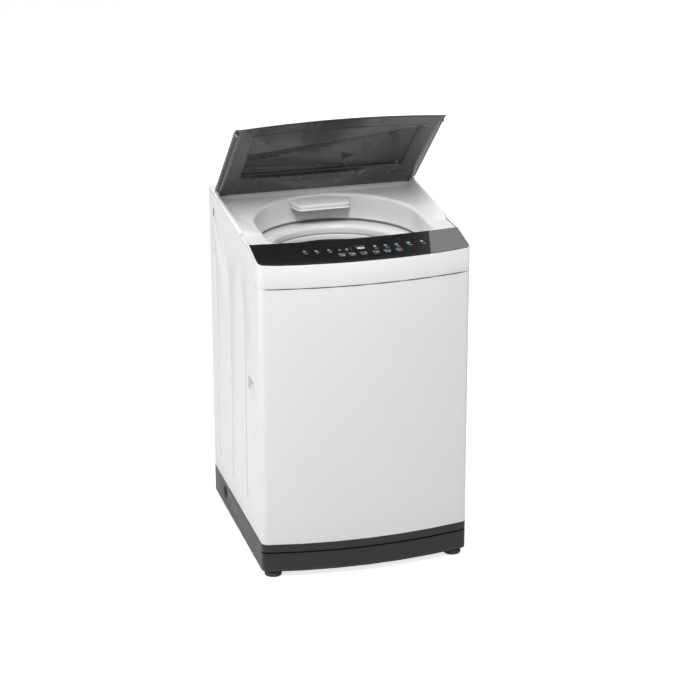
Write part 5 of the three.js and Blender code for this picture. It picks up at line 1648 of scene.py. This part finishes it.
    def pane(self) -> None:
        """Glass pane with ground edges, and the screw that shows at its lower corner."""
        reach = self.reach - self.nose - 0.0004
        edge = 0.0006
        rows = ((edge, self.glass_low), (0, self.glass_low + edge), (0, self.top - edge), (edge, self.top))
        loops = [self.loop(self.half - inset, reach - inset, self.bow, -0.004 + inset, 0.006, z, z,
                           0.2645 - inset) for inset, z in rows]
        pane = self.tilted(Bench.closed(Bench.lofted("lid_pane", loops)))
        self.place(pane, "lid", "tinted_glass", "lid_glass", smooth=40)
        outline = [(0, -0.0010), (0.0009, -0.0010), (0.0011, -0.0016), (0.0022, -0.0014), (0.0028, -0.0006),
                   (0.0028, 0.0)]
        screw = Bench.closed(Bench.spun("pane_stop", outline, (0.203, -0.103, self.glass_low), 24,
                                        closed=False))
        self.place(self.tilted(screw), "lid", "zinc_steel")

    def bumper(self, side: int, name: str) -> None:
        """Soft pad near a front corner of the lid's underside.

        Args:
            side: -1 on the left and 1 on the right.
            name: left or right.
        """
        high = 0.00065
        outline = [(0, high - 0.0070), (0.0014, high - 0.0069), (0.0026, high - 0.0064), (0.0033, high - 0.0055),
                   (0.0036, high - 0.0040), (0.0037, high - 0.0016), (0.0042, high - 0.0012), (0.0042, high)]
        pad = Bench.closed(Bench.spun(f"bumper_{name}", outline, (side * 0.2705, -0.336, 0), 32, closed=False))
        self.place(self.tilted(pad), "lid", "pale_rubber", f"lid_bumper_{name}", smooth=50)


@dataclass
class Tub(SubAssembly):
    """Hung tub with its cover, suspension and hoses."""

    finishes: Finishes
    centre: Point = (0.0, -0.008, 0.0)
    radius: float = 0.252
    low: float = 0.205
    high: float = 0.772

    def build(self) -> None:
        """Builds the tub unit's pieces."""
        self.shell()
        self.cover()
        for corner in CORNERS:
            self.suspension(corner)
            self.rod(corner)
            self.cup(corner)
        drain = Bench.hose("drain_hose_run", [(-0.192, 0.052, 0.18265), (-0.206, 0.052, 0.18265),
                                              (-0.212, 0.102, 0.123), (-0.22465, 0.149, 0.071),
                                              (-0.23665, 0.155, 0.063), (-0.24865, 0.155, 0.063)],
                           0.012, 6, 14, 0.10)
        self.bridge(drain, "black_moulding", "drain_hose", (-0.192, 0.052, 0.18265), (-0.24865, 0.155, 0.063))
        air = Bench.hose("air_tube_run", [(0.1802, 0.2089, 0.235), (0.1802, 0.2149, 0.275),
                                          (0.1802, 0.23195, 0.536), (0.1802, 0.255, 0.777),
                                          (0.1802, 0.255, 0.8246)], 0.003, 3, 14)
        self.bridge(air, "black_moulding", "air_tube", (0.1802, 0.2089, 0.235), (0.1802, 0.255, 0.8246))

    def bridge(self, piece: bpy.types.Object, finish: str, node: str, start: Point, end: Point) -> None:
        """Dresses a piece that reaches from the tub to the cabinet.

        Args:
            piece: the piece.
            finish: its finish.
            node: the frame node that it stands for.
            start: its end on the tub; not used.
            end: its end on the cabinet; not used.
        """
        Bench.settle(piece, 60)
        self.finishes.dress(piece, finish)
        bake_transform(piece)
        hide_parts(node)

    def shell(self) -> None:
        """Outer tub with rings round it and a lug over each damper cup."""
        r, low, high = self.radius, self.low, self.high
        outline = [(0.034, low), (r - 0.025, low)]
        for i in range(1, 6):
            bend = math.pi / 2 * i / 5
            outline.append((r - 0.025 + 0.025 * math.sin(bend), low + 0.025 * (1 - math.cos(bend))))
        for ring_z in (0.30, 0.42, 0.54, 0.66):
            outline += [(r, ring_z - 0.003), (r + 0.003, ring_z - 0.002), (r + 0.003, ring_z + 0.002),
                        (r, ring_z + 0.003)]
        outline += [(r, high - 0.001), (r - 0.0008, high), (r - 0.003, high)]
        for i in range(6):
            bend = math.pi / 2 * (1 - i / 5)
            outline.append((r - 0.028 + 0.025 * math.sin(bend), low + 0.028 - 0.025 * math.cos(bend)))
        outline.append((0.034, low + 0.003))
        parts = [Bench.spun("tub_shell", outline, self.centre, 96)]
        for corner in CORNERS:
            cup = middle(f"damper_cup_{corner}")
            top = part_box(f"damper_cup_{corner}")[1][2] + 0.0004
            away = Vector((cup.x, cup.y - self.centre[1], 0))
            near = (r - 0.001) / away.length
            side = Vector((-away.y, away.x, 0)).normalized() * 0.020
            root = Vector(self.centre) + away * near
            eye = Vector((cup.x, cup.y, 0))
            lobe = [eye + Matrix.Rotation(math.pi * i / 12, 3, "Z") @ -side for i in range(13)]
            plan = [root - side] + lobe + [root + side]
            loops = [[(p.x + (eye.x - p.x) * s, p.y + (eye.y - p.y) * s, top + z) for p in plan]
                     for s, z in ((0.04, 0.0), (0.0, 0.001), (0.0, 0.013), (0.04, 0.014), (0.70, 0.014),
                                  (0.72, 0.013), (0.72, 0.001), (0.70, 0.0), (0.04, 0.0))]
            parts.append(Bench.closed(Bench.lofted("tub_lug", loops)))
        drum = Bench.joined("tub_shell", parts)
        self.place(drum, "tub_unit", "tub_moulding", "outer_tub", smooth=40)

    def cover(self) -> None:
        """Splash ring clipped on the tub's rim."""
        low, high, inner = self.high + 0.00035, 0.802, 0.2226
        outline = [(0.249, low), (0.252, low), (0.252, high - 0.002), (0.2514, high - 0.0006), (0.250, high),
                   (0.236, high), (0.2355, high - 0.0008), (0.2345, high - 0.0008), (0.234, high),
                   (inner + 0.001, high), (inner, high - 0.001), (inner, high - 0.0026), (0.249, high - 0.0026)]
        ring = Bench.spun("splash_ring", outline, self.centre, 96)
        self.place(ring, "tub_unit", "tub_moulding", "tub_cover", smooth=40)

    def rod(self, corner: str) -> None:
        """Steel rod with a ball head above and a spring seat below.

        Args:
            corner: the corner that it hangs in.
        """
        node = f"suspension_rod_{corner}"
        low, high = (Vector(p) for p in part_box(node))
        centre = middle(node)
        seat = (high.x - low.x) / 2
        base, neck = 0.0, 0.0076
        top = high.z - low.z
        outline = [(0, base), (seat - 0.002, base), (seat - 0.0006, base + 0.0006), (seat, base + 0.002),
                   (seat, neck - 0.001), (seat - 0.001, neck), (0.004, neck), (0.003, neck + 0.001),
                   (0.003, top - 0.0122), (0.0104, top - 0.0117), (0.011, top - 0.0110), (0.011, top - 0.0086),
                   (0.0095, top - 0.0050), (0.0072, top - 0.0022), (0.004, top - 0.0006), (0, top)]
        rod = Bench.spun(node + "_bar", outline, (centre.x, centre.y, low.z), 32)
        self.place(rod, "cabinet", "zinc_steel", node, smooth=40)

    def cup(self, corner: str) -> None:
        """Damper cup with a recessed band round its skirt.

        Args:
            corner: the corner that it sits in.
        """
        node = f"damper_cup_{corner}"
        low, high = (Vector(p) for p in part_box(node))
        centre = middle(node)
        outer = (high.x - low.x) / 2
        inner, tall = outer - 0.0025, high.z - low.z
        outline = [(0.005, tall), (0.005, tall - 0.003), (inner, tall - 0.003), (inner, 0.0), (outer - 0.0006, 0.0),
                   (outer, 0.0006), (outer, 0.006), (outer - 0.0008, 0.008), (outer - 0.0008, tall - 0.012),
                   (outer, tall - 0.010), (outer, tall - 0.0015), (outer - 0.0015, tall)]
        cup = Bench.spun(node + "_shell", outline, (centre.x, centre.y, low.z), 48)
        self.place(cup, "tub_unit", "black_moulding", node, smooth=40)

    def suspension(self, corner: str) -> None:
        """Coil spring of the tub's suspension.

        Args:
            corner: the corner that it hangs in.
        """
        node = f"suspension_spring_{corner}"
        low, high = (Vector(p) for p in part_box(node))
        centre = middle(node)
        wire = 0.0019
        radius = (high.x - low.x) / 2 - wire
        turns, steps = 4.5, 108
        route = []
        for i in range(steps + 1):
            angle = 2 * math.pi * turns * i / steps
            height = low.z + wire + (high.z - low.z - 2 * wire) * i / steps
            route.append((centre.x + radius * math.cos(angle), centre.y + radius * math.sin(angle), height))
        spring = Bench.hose(node + "_coil", route, wire, 2, 1)
        Bench.settle(spring, 60)
        self.finishes.dress(spring, "zinc_steel")
        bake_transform(spring)
        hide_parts(node)


@dataclass
class Drive(SubAssembly):
    """Motor, belt, pulleys, gearbox, drain valve and brake under the tub."""

    finishes: Finishes
    tub: Point = (0.0, -0.008, 0.0)
    motor: Point = (0.0, 0.132, 0.0)
    pulley_z: float = 0.097
    pulley_width: float = 0.016
    plate_low: float = 0.20165

    def build(self) -> None:
        """Builds the drive's pieces."""
        self.gearbox()
        self.motor_case()
        self.rotor()
        self.belt()
        for node, name, body, finish, bevel in (
            ("mounting_plate", "plate_sheet", "tub_unit", "zinc_steel", 0.0006),
            ("shaft_bearing", "bearing_race", "tub_unit", "zinc_steel", 0.0008),
            ("shaft_seal", "seal_lip", "tub_unit", "rubber_moulding", 0.0010),
            ("drive_pulley", "pulley_casting", "pulley", "cast_aluminium", 0.0009),
            ("drain_valve", "valve_body", "tub_unit", "gloss_white", 0.0010),
            ("valve_plunger", "plunger_rod", "plunger", "rubber_moulding", 0.0008),
            ("drain_motor", "drain_motor_case", "tub_unit", "black_moulding", 0.0022),
            ("brake_lever", "brake_arm", "lever", "zinc_steel", 0.0008),
            ("hub_flange", "flange_casting", "basket", "cast_aluminium", 0.0018),
        ):
            piece = Bench.from_frame(node, name, bevel, 2, 28)
            self.place(piece, body, finish, node, smooth=38)

    def gearbox(self) -> None:
        """Gearbox and clutch housing with a finned waist."""
        low, high = 0.125, self.plate_low - 0.00035
        outline = [(0.015, low), (0.029, low), (0.030, low + 0.001), (0.057, low + 0.0135), (0.058, low + 0.015)]
        fins = 6
        pitch = (high - 0.017 - (low + 0.016)) / fins
        for i in range(fins):
            z = low + 0.016 + pitch * i
            outline += [(0.058, z), (0.058, z + pitch * 0.45), (0.0545, z + pitch * 0.55), (0.0545, z + pitch * 0.9)]
        outline += [(0.058, high - 0.016), (0.0575, high - 0.015), (0.051, high - 0.0065), (0.050, high - 0.005),
                    (0.050, high - 0.0006), (0.0494, high), (0.015, high)]
        case = Bench.spun("gearbox_casting", outline, self.tub, 72)
        self.place(case, "tub_unit", "cast_aluminium", "gearbox_housing", smooth=38)

    def motor_case(self) -> None:
        """Motor shell with ventilation slots round both ends."""
        low, high, r = 0.121, self.plate_low - 0.00035, 0.056
        outline = [(0.012, low), (r - 0.008, low), (r - 0.004, low + 0.001), (r - 0.001, low + 0.004),
                   (r, low + 0.008), (r, low + 0.014), (r, low + 0.026), (r, low + 0.032), (r, high - 0.032),
                   (r, high - 0.026), (r, high - 0.014), (r, high - 0.008), (r - 0.001, high - 0.004),
                   (r - 0.006, high), (0.009, high), (0.009, high - 0.003), (r - 0.008, high - 0.003),
                   (r - 0.003, high - 0.010), (r - 0.003, low + 0.010), (r - 0.008, low + 0.003),
                   (0.012, low + 0.003)]
        case = Bench.spun("motor_case", outline, self.motor, 72)
        Bench.edit(case)

        def slotted(face: bpy.types.MeshPolygon) -> bool:
            """Says whether a face is one of the slots' places."""
            x, y, z = face.center
            if math.hypot(x, y - self.motor[1]) < r - 0.0015:
                return False
            column = int((math.atan2(y - self.motor[1], x) % (2 * math.pi)) / (2 * math.pi) * 72)
            in_row = low + 0.014 < z < low + 0.026 or high - 0.026 < z < high - 0.014
            return in_row and column % 3 != 0

        Bench.pick(case, slotted)
        bpy.ops.mesh.inset(thickness=0.0007)
        factor = 1 - 0.0016 / r
        bpy.ops.transform.resize(value=(factor, factor, 1), center_override=self.motor)
        bpy.ops.object.mode_set(mode="OBJECT")
        self.place(case, "tub_unit", "cast_aluminium", "motor_housing", smooth=38)

    def rotor(self) -> None:
        """Rotor with its shaft and a small grooved pulley."""
        z, wide = self.pulley_z, self.pulley_width
        rim = 0.026
        outline = [(0, z - 0.004), (rim + 0.002, z - 0.004), (rim + 0.003, z - 0.003), (rim + 0.003, z - 0.001)]
        grooves = 5
        for i in range(grooves):
            foot = z + wide * i / grooves
            outline += [(rim, foot + 0.0002), (rim - 0.0018, foot + wide / grooves / 2)]
        body, top = z + wide + 0.018, self.plate_low - 0.018
        outline += [(rim, z + wide), (0.007, z + wide + 0.001), (0.006, z + wide + 0.002), (0.006, body),
                    (0.041, body), (0.042, body + 0.001), (0.042, top - 0.001), (0.041, top), (0.006, top),
                    (0.006, self.plate_low - 0.002), (0.005, self.plate_low - 0.001), (0, self.plate_low - 0.001)]
        rotor = Bench.spun("rotor_stack", outline, self.motor, 48)
        self.place(rotor, "motor", "zinc_steel", "motor_rotor", smooth=38)

    def belt(self) -> None:
        """Ribbed belt round both pulleys."""
        gap = self.motor[1] - self.tub[1]

        def around(grow: float, z: float) -> list[Point]:
            """Gives the belt's path, grown by so much, at one height."""
            big, small = 0.074 + grow, 0.026 + grow
            lean = math.asin((big - small) / gap)
            loop = []
            for i in range(25):
                angle = lean + (math.pi - 2 * lean) * i / 24
                loop.append((small * math.cos(angle), self.motor[1] + small * math.sin(angle), z))
            for i in range(49):
                angle = math.pi - lean + (math.pi + 2 * lean) * i / 48
                loop.append((big * math.cos(angle), self.tub[1] + big * math.sin(angle), z))
            return loop

        low, high = self.pulley_z + 0.002, self.pulley_z + self.pulley_width - 0.002
        rows = [(0.0036, low), (0.0040, low + 0.0005), (0.0040, high - 0.0005), (0.0036, high)]
        ribs = 5
        for i in range(ribs):
            foot = high - (high - low) * i / ribs
            rows += [(0.0030, foot - 0.0001), (0.0016, foot - (high - low) / ribs * 0.5)]
        rows += [(0.0030, low), (0.0036, low)]
        belt = Bench.closed(Bench.lofted("ribbed_belt", [around(grow, z) for grow, z in rows]))
        self.place(belt, "tub_unit", "rubber_moulding", "drive_belt", smooth=38)


# ---------------------------------------------------------------------------------------------------
# Studio


@dataclass
class Studio:
    """Floor, lights and camera."""

    eye: Point = (-1.4872, -5.3409, 2.5549)
    aim: Point = (0.0675, 0.2149, 0.450)
    lens: float = 118.7
    roll: float = math.radians(-0.16)
    floor_size: float = 14.0

    def build(self) -> None:
        """Sets the whole studio."""
        self.floor()
        self.sky()
        self.lamp("key", (-4.0, -0.2, 2.0), (0, 0, 0.5), 2.4, 62)
        self.lamp("fill", (1.8, -4.2, 2.2), (0, 0, 0.5), 2.6, 4)
        self.lamp("top", (-0.4, -1.7, 3.9), (0, 0, 0.8), 1.6, 80)
        self.beam("deck_beam", (-0.25, -1.2, 2.2), (0.0, 0.10, 0.88), 17.5, 80)
        self.camera()

    def floor(self) -> None:
        """Pale flat floor."""
        Bench.clear()
        bpy.ops.mesh.primitive_plane_add(size=self.floor_size, location=(0, 0, 0))
        ground = bpy.context.object
        ground.name = "floor"
        material = bpy.data.materials.new("floor_paper")
        material.use_nodes = True
        tree = material.node_tree
        shader = tree.nodes["Principled BSDF"]
        shader.inputs["Roughness"].default_value = 0.9
        noise = tree.nodes.new("ShaderNodeTexNoise")
        noise.inputs["Scale"].default_value = 3
        place = tree.nodes.new("ShaderNodeTexCoord")
        ramp = tree.nodes.new("ShaderNodeMapRange")
        ramp.inputs["To Min"].default_value = 0.93
        ramp.inputs["To Max"].default_value = 0.95
        tree.links.new(place.outputs["Object"], noise.inputs["Vector"])
        tree.links.new(noise.outputs["Fac"], ramp.inputs["Value"])
        tree.links.new(ramp.outputs["Result"], shader.inputs["Base Color"])
        path = tree.nodes.new("ShaderNodeLightPath")
        glow = tree.nodes.new("ShaderNodeMath")
        glow.operation = "MULTIPLY"
        glow.inputs[1].default_value = 0.75
        tree.links.new(path.outputs["Is Camera Ray"], glow.inputs[0])
        tree.links.new(glow.outputs[0], shader.inputs["Emission Strength"])
        shader.inputs["Emission Color"].default_value = (1, 1, 1, 1)
        ground.data.materials.append(material)

    @staticmethod
    def sky() -> None:
        """Even white surround."""
        world = bpy.data.worlds.new("surround")
        world.use_nodes = True
        back = world.node_tree.nodes["Background"]
        back.inputs["Color"].default_value = (1, 1, 1, 1)
        path = world.node_tree.nodes.new("ShaderNodeLightPath")
        ramp = world.node_tree.nodes.new("ShaderNodeMapRange")
        ramp.inputs["To Min"].default_value = 0.52
        ramp.inputs["To Max"].default_value = 1.0
        world.node_tree.links.new(path.outputs["Is Camera Ray"], ramp.inputs["Value"])
        world.node_tree.links.new(ramp.outputs["Result"], back.inputs["Strength"])
        bpy.context.scene.world = world
        bpy.context.scene.view_settings.view_transform = "Standard"

    @staticmethod
    def lamp(name: str, place: Point, target: Point, size: float, power: float) -> None:
        """Adds a soft box.

        Args:
            name: its name.
            place: where it hangs.
            target: the point that it faces.
            size: its width.
            power: watts.
        """
        Bench.clear()
        bpy.ops.object.light_add(type="AREA", location=place)
        lamp = bpy.context.object
        lamp.name = name
        lamp.data.shape = "SQUARE"
        lamp.data.size = size
        lamp.data.energy = power
        lamp.rotation_euler = (Vector(target) - Vector(place)).to_track_quat("-Z", "Y").to_euler()

    @staticmethod
    def beam(name: str, place: Point, target: Point, spread: float, power: float) -> None:
        """Adds a narrow soft beam.

        Args:
            name: its name.
            place: where it hangs.
            target: the point that it faces.
            spread: the cone's full angle in degrees.
            power: watts.
        """
        Bench.clear()
        bpy.ops.object.light_add(type="SPOT", location=place)
        beam = bpy.context.object
        beam.name = name
        beam.data.spot_size = math.radians(spread)
        beam.data.spot_blend = 0.6
        beam.data.shadow_soft_size = 0.22
        beam.data.energy = power
        beam.rotation_euler = (Vector(target) - Vector(place)).to_track_quat("-Z", "Y").to_euler()

    def camera(self) -> None:
        """Adds the camera."""
        Bench.clear()
        bpy.ops.object.camera_add(location=self.eye)
        camera = bpy.context.object
        camera.data.lens = self.lens
        camera.data.sensor_width = 36
        turn = (Vector(self.aim) - Vector(self.eye)).to_track_quat("-Z", "Y").to_matrix()
        camera.rotation_euler = (turn @ Matrix.Rotation(self.roll, 3, "Z")).to_euler()
        bpy.context.scene.camera = camera


def main() -> None:
    """Builds the machine's looks and the studio around it."""
    logging.basicConfig(level=logging.INFO, format="%(message)s")
    finishes = Finishes()
    finishes.dress_frame()
    for assembly in (Cabinet, Base, Panel, TopFrame, Basket, Lid, Tub, Drive):
        assembly(finishes).build()
        log.info("%s is built", assembly.__name__)
    Studio().build()


if __name__ == "__main__":
    main()
